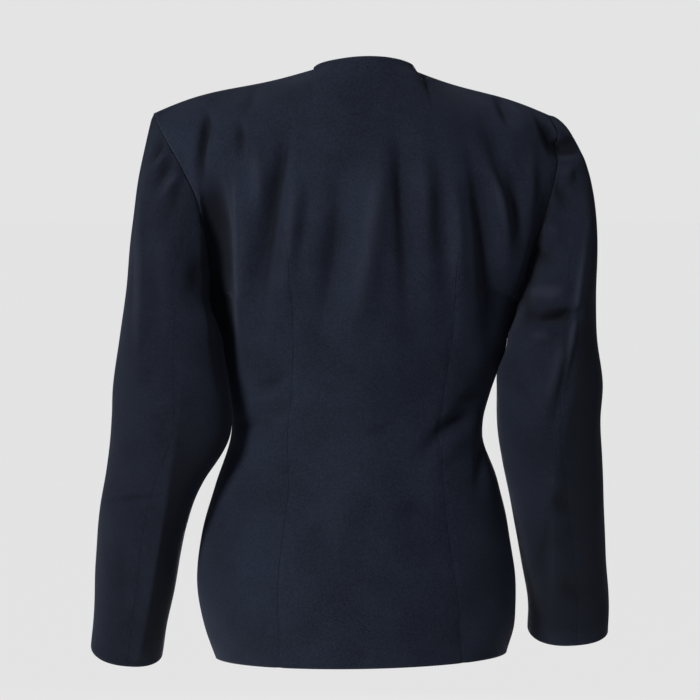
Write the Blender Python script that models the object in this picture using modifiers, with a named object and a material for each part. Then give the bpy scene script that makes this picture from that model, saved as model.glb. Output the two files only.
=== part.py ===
"""Military-style blazer, worn shape: collarless round neck, wide padded shoulders, fitted waist.

The wearer's front faces -Y, the back +Y, the wearer's left +X and up +Z. The origin lies between
the shoulders at the base of the neck. Tables are in millimetres, the model is in metres.
"""
import math

import bpy
import numpy as np
from mathutils import Vector

MM = 0.001
WALL = 1.8
SEAM_GAP = 0.4
LAP_HALF = 18.0
LAP_CLEARANCE = 0.6

NECK_HALF = 55.0
NECK_SIDE_Y = 4.0
NECK_SIDE_Z = -6.0

# The shoulder seam's slope, its curve, and how far it dips beside the neck and rises over the pad.
LEFT_SHOULDER = (0.195, 0.00028, 2.5)
RIGHT_SHOULDER = (0.298, 0.0001, 2.0)

YOKE_DEPTH_POWER = 3.0
FRONT_NECK_POWER = 1.3
NECK_LIFT = 12.0
NECK_LIFT_WIDTH = 38.0

NECK_STEPS = 4
SHOULDER_STEPS = 12
DART_COLUMN = 7
DART_HALF = 5.0
DART_DEPTH = 1.6

EDGE_FADE = 0.3
END_FADE = 0.8
TOP_FADE_ROWS = 3.0
DART_TOP = -190.0
DART_RELEASE = 60.0
MITRE_LIMIT = 1.6
SHARP_ANGLE = 50.0
LAP_EASE = 0.3
ARMPIT_LEVEL = 9
UNDER_BACK = 5
UNDER_FRONT = 4

BUTTON_RADIUS = 10.0
BUTTON_DOME = 4.5
BUTTON_EDGE = 0.8
BUTTON_LIFT = 1.6
BUTTON_SIDES = 16
DOME_STEPS = 4
SHANK_RADIUS = 3.5
SHANK_GAP = 0.3
BUTTON_HEIGHTS = (-128.0, -205.0, -282.0, -359.0, -436.0)

CLOTH_COLOUR = (0.016, 0.018, 0.030, 1.0)
BUTTON_COLOUR = (0.008, 0.009, 0.014, 1.0)


def table(columns, rows):
    """Return the rows' numbers as one array for each named column."""
    names = columns.split()
    return {name: np.array([row[i + 1] for row in rows], float) for i, name in enumerate(names)}


# One row for each level of the body, hem to shoulder tip. steps: grid rows up to the next level.
# left_x, right_x, edge_z: the side seam, then the armhole. turn: how far the section curls, degrees.
BODY = table(
    "edge_z left_x right_x back_edge_y front_edge_y back_z back_y front_z front_y turn yoke steps",
    (
        ("hem", -651, 164, -161, 2, 2, -644, 112, -650, -108, 90, 0, 1),
        ("low hip", -619, 175, -169, 2, 2, -614, 116, -618, -112, 90, 0, 2),
        ("hip", -572, 184, -170, 2, 2, -568, 118, -571, -113, 90, 0, 2),
        ("high hip", -512, 178, -162, 2, 2, -508, 109, -511, -110, 90, 0, 2),
        ("belly", -462, 163, -152, 2, 2, -458, 92, -461, -104, 90, 0, 2),
        ("waist", -402, 145, -133, 2, 2, -398, 79, -401, -99, 90, 0, 2),
        ("high waist", -362, 147, -141, 2, 2, -358, 80, -360, -104, 90, 0, 2),
        ("ribs", -316, 156, -158, 2, 2, -308, 89, -308, -118, 90, 0, 1),
        ("under arm", -288, 161, -164, 2, 2, -275, 96, -272, -130, 90, 0, 1),
        ("armpit", -264, 168, -171, 2, 2, -248, 100, -240, -134, 90, 0, 1),
        ("low arm", -257, 167, -171, 24, -21, -232, 102, -222, -132, 82, 0, 1),
        ("arm", -235, 168, -175, 43, -40, -204, 104, -200, -126, 72, 0, 2),
        ("blade", -192, 173, -184, 52, -48, -160, 103, -168, -114, 66, 0, 2),
        ("high blade", -148, 184, -198, 51, -46, -108, 98, -138, -101, 62, 0.12, 2),
        ("yoke", -104, 205, -209, 41, -38, -56, 83, -114, -89, 60, 0.4, 1),
        ("pad", -74, 221, -211, 26, -25, -24, 69, -102, -83, 58, 0.75, 1),
        ("tip", -54, 228, -207, -2, -2, 5, 56, -92, -79, 56, 1, 0),
    ),
)

# Distance of the two back darts from the body's middle at each level.
DARTS = table("z offset", (
    ("hem", -647, 100), ("hip", -570, 97), ("belly", -454, 84), ("ribs", -360, 83),
    ("tip", -200, 90), ("shoulder", -20, 118),
))

# Soft folds of the back, from the top point to the low one. bend: sideways bow at half height.
BACK_FOLDS = table("top_x top_z low_x low_z bend width depth", (
    ("left armhole trough", 186, -105, 152, -290, 6, 11, -5.0),
    ("left shoulder trough", 130, -75, 92, -330, 0, 12, -3.0),
    ("left blade ridge", 108, -70, 70, -330, 0, 15, 2.6),
    ("left neck trough", 84, -75, 46, -350, 4, 12, -2.6),
    ("middle trough", 22, -70, 52, -340, -6, 12, -2.4),
    ("middle ridge", -22, -70, -6, -330, 0, 16, 1.8),
    ("right neck trough", -38, -80, -24, -280, 0, 12, -2.4),
    ("right blade trough", -84, -100, -76, -300, 0, 12, -3.0),
    ("right blade ridge", -100, -75, -104, -300, 0, 14, 2.2),
    ("right shoulder trough", -128, -95, -152, -300, 0, 12, -3.4),
    ("right shoulder ridge", -150, -100, -166, -270, 0, 10, 2.2),
))

# One row for each ring of a sleeve, cuff to upper arm.
LEFT_SLEEVE = table("z x y half_width half_depth steps", (
    ("cuff", -645, 260, -30, 40, 45, 1),
    ("wrist", -610, 256, -21, 41, 47, 2),
    ("forearm", -550, 249, -5, 45, 53, 2),
    ("low elbow", -490, 242, 12, 48, 57, 2),
    ("elbow", -430, 227, 27, 54, 59, 1),
    ("high elbow", -388, 212, 33, 65, 60, 1),
    ("arm", -345, 212, 32, 62, 61, 1),
    ("upper arm", -305, 212, 27, 56, 62, 0),
))
RIGHT_SLEEVE = table("z x y half_width half_depth steps", (
    ("cuff", -635, 239, -30, 45, 45, 1),
    ("wrist", -598, 237, -21, 45, 47, 2),
    ("forearm", -542, 227, -5, 47, 53, 2),
    ("low elbow", -485, 217, 12, 50, 57, 2),
    ("elbow", -430, 207, 27, 54, 59, 1),
    ("high elbow", -388, 202, 33, 56, 60, 1),
    ("arm", -345, 204, 32, 56, 61, 1),
    ("upper arm", -305, 207, 27, 48, 62, 0),
))
CAP_STEPS = 8
CAP_REACH = 0.34
SQUARENESS = 2.3

# The sleeve head's way off the shoulder: outward and downward parts, and how far it keeps to them.
LEFT_HEAD = (0.30, 0.95, 72.0)
RIGHT_HEAD = (0.97, 0.38, 68.0)

# The cloth's way off the rest of the armhole: each part under the arm, and what front and back add.
UNDER_OUT = (0.20, 0.70)
UNDER_DOWN = (0.85, -0.45)
CAP_BACKWARD = 0.30


def clear_scene():
    """Remove every object of the scene."""
    for item in list(bpy.data.objects):
        bpy.data.objects.remove(item, do_unlink=True)


def make_collection(name):
    """Return a collection of that name, linked to the scene."""
    collection = bpy.data.collections.new(name)
    bpy.context.scene.collection.children.link(collection)
    return collection


def make_material(name, colour, roughness):
    """Return a plain Principled material."""
    material = bpy.data.materials.new(name)
    material.use_nodes = True
    shader = material.node_tree.nodes["Principled BSDF"]
    shader.inputs["Base Color"].default_value = colour
    shader.inputs["Roughness"].default_value = roughness
    shader.inputs["Metallic"].default_value = 0.0
    material.diffuse_color = colour
    return material


def smooth(knots, values, at):
    """Return a curve through the values at the knots, cubic with averaged slopes, read at 'at'."""
    knots = np.asarray(knots, float)
    values = np.asarray(values, float)
    flat = values.reshape(len(knots), -1)
    slopes = np.gradient(flat, knots, axis=0)
    place = np.clip(np.searchsorted(knots, at, side="right") - 1, 0, len(knots) - 2)
    span = (knots[place + 1] - knots[place])[:, None]
    part = (np.asarray(at)[:, None] - knots[place][:, None]) / span
    result = (
        (2 * part**3 - 3 * part**2 + 1) * flat[place]
        + (part**3 - 2 * part**2 + part) * span * slopes[place]
        + (3 * part**2 - 2 * part**3) * flat[place + 1]
        + (part**3 - part**2) * span * slopes[place + 1]
    )
    return result.reshape((len(at),) + values.shape[1:])


def row_places(knots, steps):
    """Return the knots with each span between them cut into its number of steps."""
    places = [np.linspace(knots[i], knots[i + 1], int(steps[i]) + 1)[:-1] for i in range(len(knots) - 1)]
    return np.append(np.concatenate(places), knots[-1])


def shoulder_height(x, tip_x, side):
    """Return the height of a side's shoulder seam at a distance from the middle, out to its tip."""
    slope, curve, dip = LEFT_SHOULDER if side > 0 else RIGHT_SHOULDER
    run = np.maximum(x - NECK_HALF, 0.0)
    wave = dip * np.sin(2 * math.pi * run / (tip_x - NECK_HALF))
    return NECK_SIDE_Z - slope * run - curve * run**2 - wave


def top_edge(level, side, front, columns):
    """Return one half's top edge, middle to shoulder tip: the neckline, then the shoulder seam."""
    tip_x = abs(BODY["left_x" if side > 0 else "right_x"][level])
    middle_z = BODY["front_z" if front else "back_z"][level]
    middle_y = BODY["front_y" if front else "back_y"][level]
    neck_columns = columns - SHOULDER_STEPS
    round_part = np.linspace(0.0, math.pi / 2, neck_columns)
    if front:
        first = math.asin(LAP_HALF / NECK_HALF)
        round_part = np.append(0.0, np.linspace(first, math.pi / 2, neck_columns - 1))
    neck = np.stack([
        side * NECK_HALF * np.sin(round_part),
        NECK_SIDE_Y + (middle_y - NECK_SIDE_Y) * np.cos(round_part),
        NECK_SIDE_Z + (middle_z - NECK_SIDE_Z) * np.cos(round_part) ** (FRONT_NECK_POWER if front else 1.0),
    ], 1)
    run = np.linspace(0.0, 1.0, SHOULDER_STEPS + 1)[1:]
    x = NECK_HALF + (tip_x - NECK_HALF) * run
    drop = BODY["edge_z"][level] - shoulder_height(tip_x, tip_x, side)
    seam_y = NECK_SIDE_Y + (BODY["back_edge_y"][level] - NECK_SIDE_Y) * run
    seam = np.stack([side * x, seam_y, shoulder_height(x, tip_x, side) + drop * run**2], 1)
    return np.concatenate([neck, seam])


def column_turns(level, side, front, columns):
    """Return the turning angle of each column of one half at a level, middle to edge."""
    edge = abs(BODY["left_x" if side > 0 else "right_x"][level] - middle_x(level))
    turn = math.radians(BODY["turn"][level])
    if front:
        first = math.asin(min(1.0, LAP_HALF / edge * math.sin(turn)))
        return np.append(0.0, np.linspace(first, turn, columns - 1))
    height = BODY["back_z"][level]
    order = np.argsort(DARTS["z"])
    offset = np.interp(height, DARTS["z"][order], DARTS["offset"][order])
    inner, dart, outer = (
        math.asin((offset + shift) / edge * math.sin(turn)) for shift in (-DART_HALF, 0.0, DART_HALF)
    )
    return np.concatenate([
        np.linspace(0.0, inner, DART_COLUMN),
        [dart],
        np.linspace(outer, turn, columns - DART_COLUMN - 1),
    ])


def middle_x(level):
    """Return the body's middle at a level, halfway between its two edges low down."""
    sway = 0.5 * (BODY["left_x"][level] + BODY["right_x"][level])
    return sway if BODY["turn"][level] >= 90 else 0.0


def body_row(level, side, front, columns):
    """Return one half of a level's section: an arc from the middle to the edge, mixed with the yoke.

    Below the neck's side corners the cloth is lifted, because it lies on the shoulder there.
    """
    turns = column_turns(level, side, front, columns)
    turn = math.radians(BODY["turn"][level])
    edge_x = BODY["left_x" if side > 0 else "right_x"][level]
    middle = middle_x(level)
    kind = "front" if front else "back"
    rise = (np.cos(turns) - math.cos(turn)) / (1.0 - math.cos(turn))
    arc = np.stack([
        middle + (edge_x - middle) * np.sin(turns) / math.sin(turn),
        BODY[kind + "_edge_y"][level] + (BODY[kind + "_y"][level] - BODY[kind + "_edge_y"][level]) * rise,
        BODY["edge_z"][level] + (BODY[kind + "_z"][level] - BODY["edge_z"][level]) * rise,
    ], 1)
    top = top_edge(len(BODY["turn"]) - 1, side, front, columns)
    shift_middle = arc[0] - top[0]
    shift_edge = arc[-1] - top[-1]
    run = np.linspace(0.0, 1.0, columns)[:, None]
    yoke = top + shift_middle * (1 - run) + shift_edge * run
    share = BODY["yoke"][level]
    weight = share ** np.array([1.0, YOKE_DEPTH_POWER, 1.0])
    row = arc * (1 - weight) + yoke * weight
    corner = np.exp(-(((np.abs(row[:, 0]) - NECK_HALF) / NECK_LIFT_WIDTH) ** 2))
    row[:, 2] += NECK_LIFT * 4 * share * (1 - share) * corner
    return row


def body_net(front):
    """Return the front's or the back's outer surface as rows of points, hem to top, right to left."""
    columns = NECK_STEPS + SHOULDER_STEPS + (2 if front else 1)
    levels = []
    for level in range(len(BODY["turn"])):
        left = body_row(level, 1, front, columns)
        right = body_row(level, -1, front, columns)
        levels.append(np.concatenate([right[::-1], left[1:]]))
    climb = np.hypot(np.diff(BODY["edge_z"]), np.diff(BODY["back_edge_y"]))
    knots = np.append(0.0, np.cumsum(climb))
    return smooth(knots, np.array(levels), row_places(knots, BODY["steps"]))


def fold_depth(x, z, folds):
    """Return how far the folds push each point out: a bell across each fold, fading at its ends."""
    depth = np.zeros_like(x)
    for i in range(len(folds["depth"])):
        part = (z - folds["low_z"][i]) / (folds["top_z"][i] - folds["low_z"][i])
        inside = np.clip(part, 0.0, 1.0)
        line = folds["low_x"][i] + (folds["top_x"][i] - folds["low_x"][i]) * inside
        line = line + folds["bend"][i] * np.sin(math.pi * inside)
        bell = np.exp(-(((x - line) / folds["width"][i]) ** 2))
        depth += folds["depth"][i] * bell * np.sin(math.pi * inside) ** END_FADE
    return depth


def grid_normals(net, wrap):
    """Return each point's outward direction, summed from the faces around it and not yet unit."""
    if wrap:
        net = np.concatenate([net, net[:, :1]], axis=1)
    across = net[1:, 1:] - net[:-1, :-1]
    other = net[1:, :-1] - net[:-1, 1:]
    faces = np.cross(across, other)
    sums = np.zeros_like(net)
    for rows in (slice(None, -1), slice(1, None)):
        for cols in (slice(None, -1), slice(1, None)):
            sums[rows, cols] += faces
    if wrap:
        sums[:, 0] += sums[:, -1]
        sums = sums[:, :-1]
    return sums


def unit(vectors):
    """Return the vectors at length one."""
    return vectors / np.maximum(np.linalg.norm(vectors, axis=-1, keepdims=True), 1e-9)


def ring_point(centre, across, depth, half_width, half_depth, angles):
    """Return points of a rounded-square ring; angle 0 is its inner side, 90 degrees its back."""
    cosine = np.cos(angles)
    sine = np.sin(angles)
    size = (np.abs(cosine) ** SQUARENESS + np.abs(sine) ** SQUARENESS) ** (-1.0 / SQUARENESS)
    return centre + np.outer(-cosine * size * half_width, across) + np.outer(sine * size * half_depth, depth)


def sleeve_net(sizes, loop, side, head):
    """Return a sleeve's outer surface: rings up to the upper arm, then curves on to the armhole."""
    axis = np.stack([side * sizes["x"], sizes["y"], sizes["z"]], 1)
    knots = np.append(0.0, np.cumsum(np.linalg.norm(np.diff(axis, axis=0), axis=1)))
    places = row_places(knots, sizes["steps"])
    centres = smooth(knots, axis, places)
    widths = smooth(knots, sizes["half_width"], places)
    depths = smooth(knots, sizes["half_depth"], places)
    ways = unit(np.gradient(centres, axis=0))
    angles = -side * np.linspace(0.0, 2 * math.pi, len(loop), endpoint=False)
    rows = []
    for centre, way, half_width, half_depth in zip(centres, ways, widths, depths):
        across = unit(np.cross(np.array([0.0, 1.0, 0.0]), way)) * side
        depth = unit(np.cross(way, across)) * side
        rows.append(ring_point(centre, across, depth, half_width, half_depth, angles))
    start = rows[-1]
    rise = unit(start - rows[-2])
    backward = np.sin(angles)
    top = np.clip(-np.cos(angles), 0.0, 1.0)
    out = (UNDER_OUT[0] + UNDER_OUT[1] * np.abs(backward)) * (1 - top) + head[0] * top
    down = (UNDER_DOWN[0] + UNDER_DOWN[1] * np.abs(backward)) * (1 - top) + head[1] * top
    leave = unit(np.stack([side * out, CAP_BACKWARD * backward, -down], 1))
    reach = CAP_REACH * np.linalg.norm(loop - start, axis=1)[:, None]
    leave *= (reach[:, 0] * (1 - top) + head[2] * top)[:, None]
    for part in np.linspace(0.0, 1.0, CAP_STEPS + 1)[1:]:
        rows.append(
            (1 - part) ** 3 * start
            + 3 * (1 - part) ** 2 * part * (start + rise * reach)
            + 3 * (1 - part) * part**2 * (loop + leave)
            + part**3 * loop
        )
    return np.array(rows)


def meeting_points(points):
    """Return a number for each point, alike for points in the same place, and how many share it."""
    _, group, count = np.unique(points.round(3), axis=0, return_inverse=True, return_counts=True)
    group = group.ravel()
    return group, count[group]


def shared_directions(points, directions, weights):
    """Return each point's unit direction, averaged over all points in the same place."""
    group, _ = meeting_points(points)
    sums = np.zeros((group.max() + 1, 3))
    np.add.at(sums, group, directions * weights[:, None])
    return unit(sums)[group]


def shared_walls(body, sleeves):
    """Return each net's inward wall vectors, alike wherever nets meet and longer at a mitre.

    Front and back are averaged first, so that a sleeve weighs as much as both of them together.
    """
    nets = {**body, **sleeves}
    own = {name: unit(grid_normals(net, wrap=name in sleeves)).reshape(-1, 3) for name, net in nets.items()}
    body_points = np.concatenate([net.reshape(-1, 3) for net in body.values()])
    body_own = np.concatenate([own[name] for name in body])
    _, body_count = meeting_points(body_points)
    weights = 1.0 / body_count
    smooth_body = shared_directions(body_points, body_own, weights)
    points = np.concatenate([body_points] + [net.reshape(-1, 3) for net in sleeves.values()])
    normals = np.concatenate([smooth_body] + [own[name] for name in sleeves])
    weights = np.append(weights, np.ones(len(points) - len(weights)))
    shared = shared_directions(points, normals, weights)
    group, _ = meeting_points(points)
    lowest = np.ones(group.max() + 1)
    np.minimum.at(lowest, group, (shared * normals).sum(axis=1))
    mitre = 1.0 / np.clip(lowest[group], 1.0 / MITRE_LIMIT, 1.0)
    inward = -shared * (WALL * mitre)[:, None]
    ends = np.cumsum([net.shape[0] * net.shape[1] for net in nets.values()])[:-1]
    return {name: part.reshape(nets[name].shape) for name, part in zip(nets, np.split(inward, ends))}


def pull_from_seams(net, inward, seams):
    """Move each seam's points half the seam gap into their panel, square to its rim."""
    shift = np.zeros_like(net)
    facing = unit(inward)
    for edge, near in seams:
        along = np.gradient(net[edge], axis=0)
        along = unit(along - facing[edge] * (along * facing[edge]).sum(axis=1, keepdims=True))
        square = np.cross(facing[edge], along)
        into = ((net[near] - net[edge]) * square).sum(axis=1, keepdims=True)
        shift[edge] += square * np.sign(into) * SEAM_GAP / 2
    return shift


def wall_object(name, net, wall, seams, material, collection):
    """Build a panel's closed wall: the outer grid, the inner grid and the rim that joins them.

    Each cell is cut along its shorter diagonal.
    """
    outer = net + pull_from_seams(net, wall, seams)
    rows, cols = net.shape[:2]
    count = rows * cols
    index = np.arange(count).reshape(rows, cols)
    corners = (index[:-1, :-1], index[:-1, 1:], index[1:, 1:], index[1:, :-1])
    a, b, c, d = (corner.ravel() for corner in corners)
    flat = net.reshape(-1, 3)
    rising = np.linalg.norm(flat[a] - flat[c], axis=1) <= np.linalg.norm(flat[b] - flat[d], axis=1)
    turned = ~rising
    outside = np.concatenate([
        np.stack([a, b, c], 1)[rising],
        np.stack([a, c, d], 1)[rising],
        np.stack([a, b, d], 1)[turned],
        np.stack([b, c, d], 1)[turned],
    ])
    inside = outside[:, ::-1] + count
    border = np.concatenate([index[0, :-1], index[:-1, -1], index[-1, :0:-1], index[:0:-1, 0]])
    following = np.roll(border, -1)
    rim = np.concatenate([
        np.stack([following, border, border + count], 1),
        np.stack([following, border + count, following + count], 1),
    ])
    points = np.concatenate([outer.reshape(-1, 3), (outer + wall).reshape(-1, 3)]) * MM
    mesh = bpy.data.meshes.new(name)
    mesh.from_pydata(points.tolist(), [], np.concatenate([outside, inside, rim]).tolist())
    mesh.update()
    mesh.shade_smooth()
    mesh.set_sharp_from_angle(angle=math.radians(SHARP_ANGLE))
    mesh.materials.append(material)
    item = bpy.data.objects.new(name, mesh)
    collection.objects.link(item)
    return item


def button_object(name, place, outward, material, collection):
    """Turn a domed button with its shank and stand it on the cloth, facing outward."""
    profile = [(0.0, SHANK_GAP), (SHANK_RADIUS, SHANK_GAP), (SHANK_RADIUS, BUTTON_LIFT)]
    profile += [(BUTTON_RADIUS - BUTTON_EDGE, BUTTON_LIFT), (BUTTON_RADIUS, BUTTON_LIFT + BUTTON_EDGE)]
    for angle in np.linspace(0.0, math.pi / 2, DOME_STEPS + 1)[1:-1]:
        profile.append((
            BUTTON_RADIUS * math.cos(angle),
            BUTTON_LIFT + BUTTON_EDGE + (BUTTON_DOME - BUTTON_EDGE) * math.sin(angle),
        ))
    profile.append((0.0, BUTTON_LIFT + BUTTON_DOME))
    mesh = bpy.data.meshes.new(name)
    points = [(x * MM, 0.0, z * MM) for x, z in reversed(profile)]
    mesh.from_pydata(points, [(i, i + 1) for i in range(len(points) - 1)], [])
    mesh.materials.append(material)
    item = bpy.data.objects.new(name, mesh)
    item.location = Vector(place) * MM
    item.rotation_mode = "QUATERNION"
    item.rotation_quaternion = Vector(outward).to_track_quat("Z", "Y")
    collection.objects.link(item)
    turned = item.modifiers.new("Turned", "SCREW")
    turned.axis = "Z"
    turned.steps = BUTTON_SIDES
    turned.render_steps = BUTTON_SIDES
    turned.use_merge_vertices = True
    turned.merge_threshold = 0.00005
    turned.use_smooth_shade = True
    return item


def folded_back(back):
    """Return the back with its folds pressed in or raised, and its two darts drawn in."""
    facing = unit(grid_normals(back, wrap=False))
    depth = fold_depth(back[..., 0], back[..., 2], BACK_FOLDS)
    across = np.linspace(0.0, math.pi, back.shape[1])
    below_top = np.arange(len(back))[::-1, None]
    depth *= np.sin(across) ** EDGE_FADE * np.clip(below_top / TOP_FADE_ROWS, 0.0, 1.0)
    middle = back.shape[1] // 2
    dart_fade = np.clip((DART_TOP - back[:, middle, 2]) / DART_RELEASE, 0.0, 1.0)
    for column in (middle - DART_COLUMN, middle + DART_COLUMN):
        depth[:, column] -= DART_DEPTH * dart_fade
    return back + facing * depth[..., None]


def seam_lines(armpit):
    """Return the seams by name: the rows and columns of the edge, and of the line next to it."""
    lower = slice(0, armpit + 1)
    upper = slice(armpit, None)
    start = slice(0, SHOULDER_STEPS + 1)
    end = slice(-SHOULDER_STEPS - 1, None)
    every = slice(None)
    return {
        "first side": ((lower, 0), (lower, 1)),
        "first armhole": ((upper, 0), (upper, 1)),
        "last side": ((lower, -1), (lower, -2)),
        "last armhole": ((upper, -1), (upper, -2)),
        "first shoulder": ((-1, start), (-2, start)),
        "last shoulder": ((-1, end), (-2, end)),
        "first": ((every, 0), (every, 1)),
        "last": ((every, -1), (every, -2)),
        "top": ((-1, every), (-2, every)),
    }


def build_body(nets, walls, lines, cloth, collection):
    """Build the back and the two fronts, the left one tucked under the right at the middle."""
    starts = [lines[name] for name in ("first side", "first armhole", "first shoulder")]
    ends = [lines[name] for name in ("last side", "last armhole", "last shoulder")]
    wall_object("back", nets["back"], walls["back"], starts + ends, cloth, collection)

    front = nets["front"]
    wall = walls["front"]
    middle = front.shape[1] // 2
    right = slice(0, middle + 2)
    left = slice(middle - 1, None)
    wall_object("front_right", front[:, right], wall[:, right], starts, cloth, collection)
    tuck = unit(wall) * (WALL + LAP_CLEARANCE)
    tuck[:, middle + 2] *= LAP_EASE
    tuck[:, middle + 3:] = 0.0
    wall_object("front_left", (front + tuck)[:, left], wall[:, left], ends, cloth, collection)


def build_sleeves(nets, walls, lines, cloth, collection):
    """Build each sleeve's top and under pieces, parted along the front and the back of the arm."""
    seams = [lines[name] for name in ("first", "last", "top")]
    for side, first, last in (("left", UNDER_FRONT, UNDER_BACK), ("right", UNDER_BACK, UNDER_FRONT)):
        net = nets["sleeve_" + side]
        wall = walls["sleeve_" + side]
        top = np.arange(first, net.shape[1] - last + 1)
        under = np.arange(-last, first + 1)
        wall_object("top_sleeve_" + side, net[:, top], wall[:, top], seams, cloth, collection)
        wall_object("under_sleeve_" + side, net[:, under], wall[:, under], seams, cloth, collection)


def build_buttons(front, walls, plastic, collection):
    """Stand the buttons down the middle of the lapped fronts."""
    middle = front.shape[1] // 2
    line = front[:, middle]
    outward = -unit(walls["front"][:, middle])
    for number, height in enumerate(BUTTON_HEIGHTS, start=1):
        place = [np.interp(height, line[:, 2], line[:, k]) for k in range(3)]
        facing = [np.interp(height, line[:, 2], outward[:, k]) for k in range(3)]
        button_object(f"button_{number}", place, facing, plastic, collection)


def build_blazer():
    """Build every panel and button of the blazer."""
    clear_scene()
    collection = make_collection("blazer")
    cloth = make_material("cloth", CLOTH_COLOUR, 0.85)
    plastic = make_material("button plastic", BUTTON_COLOUR, 0.35)

    back = folded_back(body_net(front=False)[:, ::-1])
    front = body_net(front=True)
    armpit = int(BODY["steps"][:ARMPIT_LEVEL].sum())
    body = {"back": back, "front": front}
    sleeves = {}
    for side, rising, falling, sizes, head in (
        ("left", front[armpit:, -1], back[armpit:-1, 0], LEFT_SLEEVE, LEFT_HEAD),
        ("right", back[armpit:, -1], front[armpit:-1, 0], RIGHT_SLEEVE, RIGHT_HEAD),
    ):
        loop = np.concatenate([rising, falling[:0:-1]])
        sleeves["sleeve_" + side] = sleeve_net(sizes, loop, 1 if side == "left" else -1, head)
    walls = shared_walls(body, sleeves)
    lines = seam_lines(armpit)
    build_body(body, walls, lines, cloth, collection)
    build_sleeves(sleeves, walls, lines, cloth, collection)
    build_buttons(front, walls, plastic, collection)


build_blazer()
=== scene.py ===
import math

import bpy
import numpy as np
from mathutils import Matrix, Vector


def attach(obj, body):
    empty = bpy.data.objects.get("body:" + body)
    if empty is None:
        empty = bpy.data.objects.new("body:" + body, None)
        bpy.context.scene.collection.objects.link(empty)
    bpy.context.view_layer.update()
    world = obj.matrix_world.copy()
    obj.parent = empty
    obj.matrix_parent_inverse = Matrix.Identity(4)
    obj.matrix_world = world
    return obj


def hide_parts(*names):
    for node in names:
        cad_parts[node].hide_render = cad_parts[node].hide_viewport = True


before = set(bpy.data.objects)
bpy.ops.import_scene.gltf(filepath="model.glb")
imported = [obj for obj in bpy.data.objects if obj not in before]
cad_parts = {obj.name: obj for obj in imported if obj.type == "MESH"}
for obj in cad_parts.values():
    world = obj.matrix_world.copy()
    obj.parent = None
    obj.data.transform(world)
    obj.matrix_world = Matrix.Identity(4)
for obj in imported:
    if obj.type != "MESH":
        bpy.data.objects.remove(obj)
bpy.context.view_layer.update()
mm = 0.001


def addObject(name, data):
    # a new object that holds the data, in the scene's collection
    made = bpy.data.objects.new(name, data)
    bpy.context.scene.collection.objects.link(made)
    return made


# camera, at the photograph's angle
cameraView = {
    "azimuth": 173.0, "elevation": 4.4, "distance": 2.5, "target": (0.014, 0.0, -0.313), "lens": 116.9, "sensor": 36.0,
}


def placeCamera(values):
    # stands on a circle about the target, at its azimuth and elevation, and looks back along that line
    camera = addObject("camera", bpy.data.cameras.new("camera"))
    azimuth = math.radians(values["azimuth"])
    elevation = math.radians(values["elevation"])
    back = Vector((
        math.sin(azimuth) * math.cos(elevation), -math.cos(azimuth) * math.cos(elevation), math.sin(elevation)
    ))
    camera.location = Vector(values["target"]) + back * values["distance"]
    camera.rotation_euler = (-back).to_track_quat("-Z", "Y").to_euler()
    camera.data.lens = values["lens"]
    camera.data.sensor_width = values["sensor"]
    bpy.context.scene.camera = camera


placeCamera(cameraView)
print("camera placed")


# the cut of the blazer, in millimetres
cut = {
    "wall": 1.7, "lapHalf": 18.0, "lapClearance": 0.7, "lapEase": 0.3,
    "neckHalf": 55.0, "neckSideY": 4.0, "neckSideZ": -6.0, "frontNeckPower": 1.3,
    "leftShoulder": (0.195, 0.00028, 2.5), "rightShoulder": (0.298, 0.0001, 2.0),
    "yokeDepthPower": 3.0, "neckLift": 12.0, "neckLiftWidth": 38.0,
    "neckSteps": 4, "shoulderSteps": 12, "dartColumn": 7, "dartHalf": 5.0, "armpitLevel": 9,
    "capSteps": 8, "capReach": 0.34, "squareness": 2.3,
    "leftHead": (0.30, 0.95, 72.0), "rightHead": (0.97, 0.38, 68.0),
    "underOut": (0.20, 0.70), "underDown": (0.85, -0.45), "capBackward": 0.30,
    "columnParts": 6, "rowParts": 9, "sleeveParts": 11, "underBack": 5, "underFront": 4,
    "frontDartColumn": 8, "backDarts": ((-172.0, 90.0), (-196.0, 90.0)), "frontDarts": ((-292.0, 60.0), (-286.0, 60.0)),
}
far = 1e3


def table(columns, rows):
    # one array for each named column; each row starts with its own name
    names = columns.split()
    return {name: np.array([row[i + 1] for row in rows], float) for i, name in enumerate(names)}


body = table(
    "edgeZ leftX rightX backEdgeY frontEdgeY backZ backY frontZ frontY turn yoke steps",
    (
        ("hem", -651, 164, -161, 2, 2, -644, 112, -650, -108, 90, 0, 1),
        ("low hip", -619, 175, -169, 2, 2, -614, 116, -618, -112, 90, 0, 2),
        ("hip", -572, 184, -170, 2, 2, -568, 118, -571, -113, 90, 0, 2),
        ("high hip", -512, 178, -162, 2, 2, -508, 109, -511, -110, 90, 0, 2),
        ("belly", -462, 163, -152, 2, 2, -458, 92, -461, -104, 90, 0, 2),
        ("waist", -402, 145, -133, 2, 2, -398, 79, -401, -99, 90, 0, 2),
        ("high waist", -362, 147, -141, 2, 2, -358, 80, -360, -104, 90, 0, 2),
        ("ribs", -316, 156, -158, 2, 2, -308, 89, -308, -118, 90, 0, 1),
        ("under arm", -288, 161, -164, 2, 2, -275, 96, -272, -130, 90, 0, 1),
        ("armpit", -264, 168, -171, 2, 2, -248, 100, -240, -134, 90, 0, 1),
        ("low arm", -257, 167, -171, 24, -21, -232, 102, -222, -132, 82, 0, 1),
        ("arm", -235, 168, -175, 43, -40, -204, 104, -200, -126, 72, 0, 2),
        ("blade", -192, 173, -184, 52, -48, -160, 103, -168, -114, 66, 0, 2),
        ("high blade", -148, 184, -198, 51, -46, -108, 98, -138, -101, 62, 0.12, 2),
        ("yoke", -104, 205, -209, 41, -38, -56, 83, -114, -89, 60, 0.4, 1),
        ("pad", -74, 221, -211, 26, -25, -24, 69, -102, -83, 58, 0.75, 1),
        ("tip", -54, 228, -207, -2, -2, 5, 56, -92, -79, 56, 1, 0),
    ),
)
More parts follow.
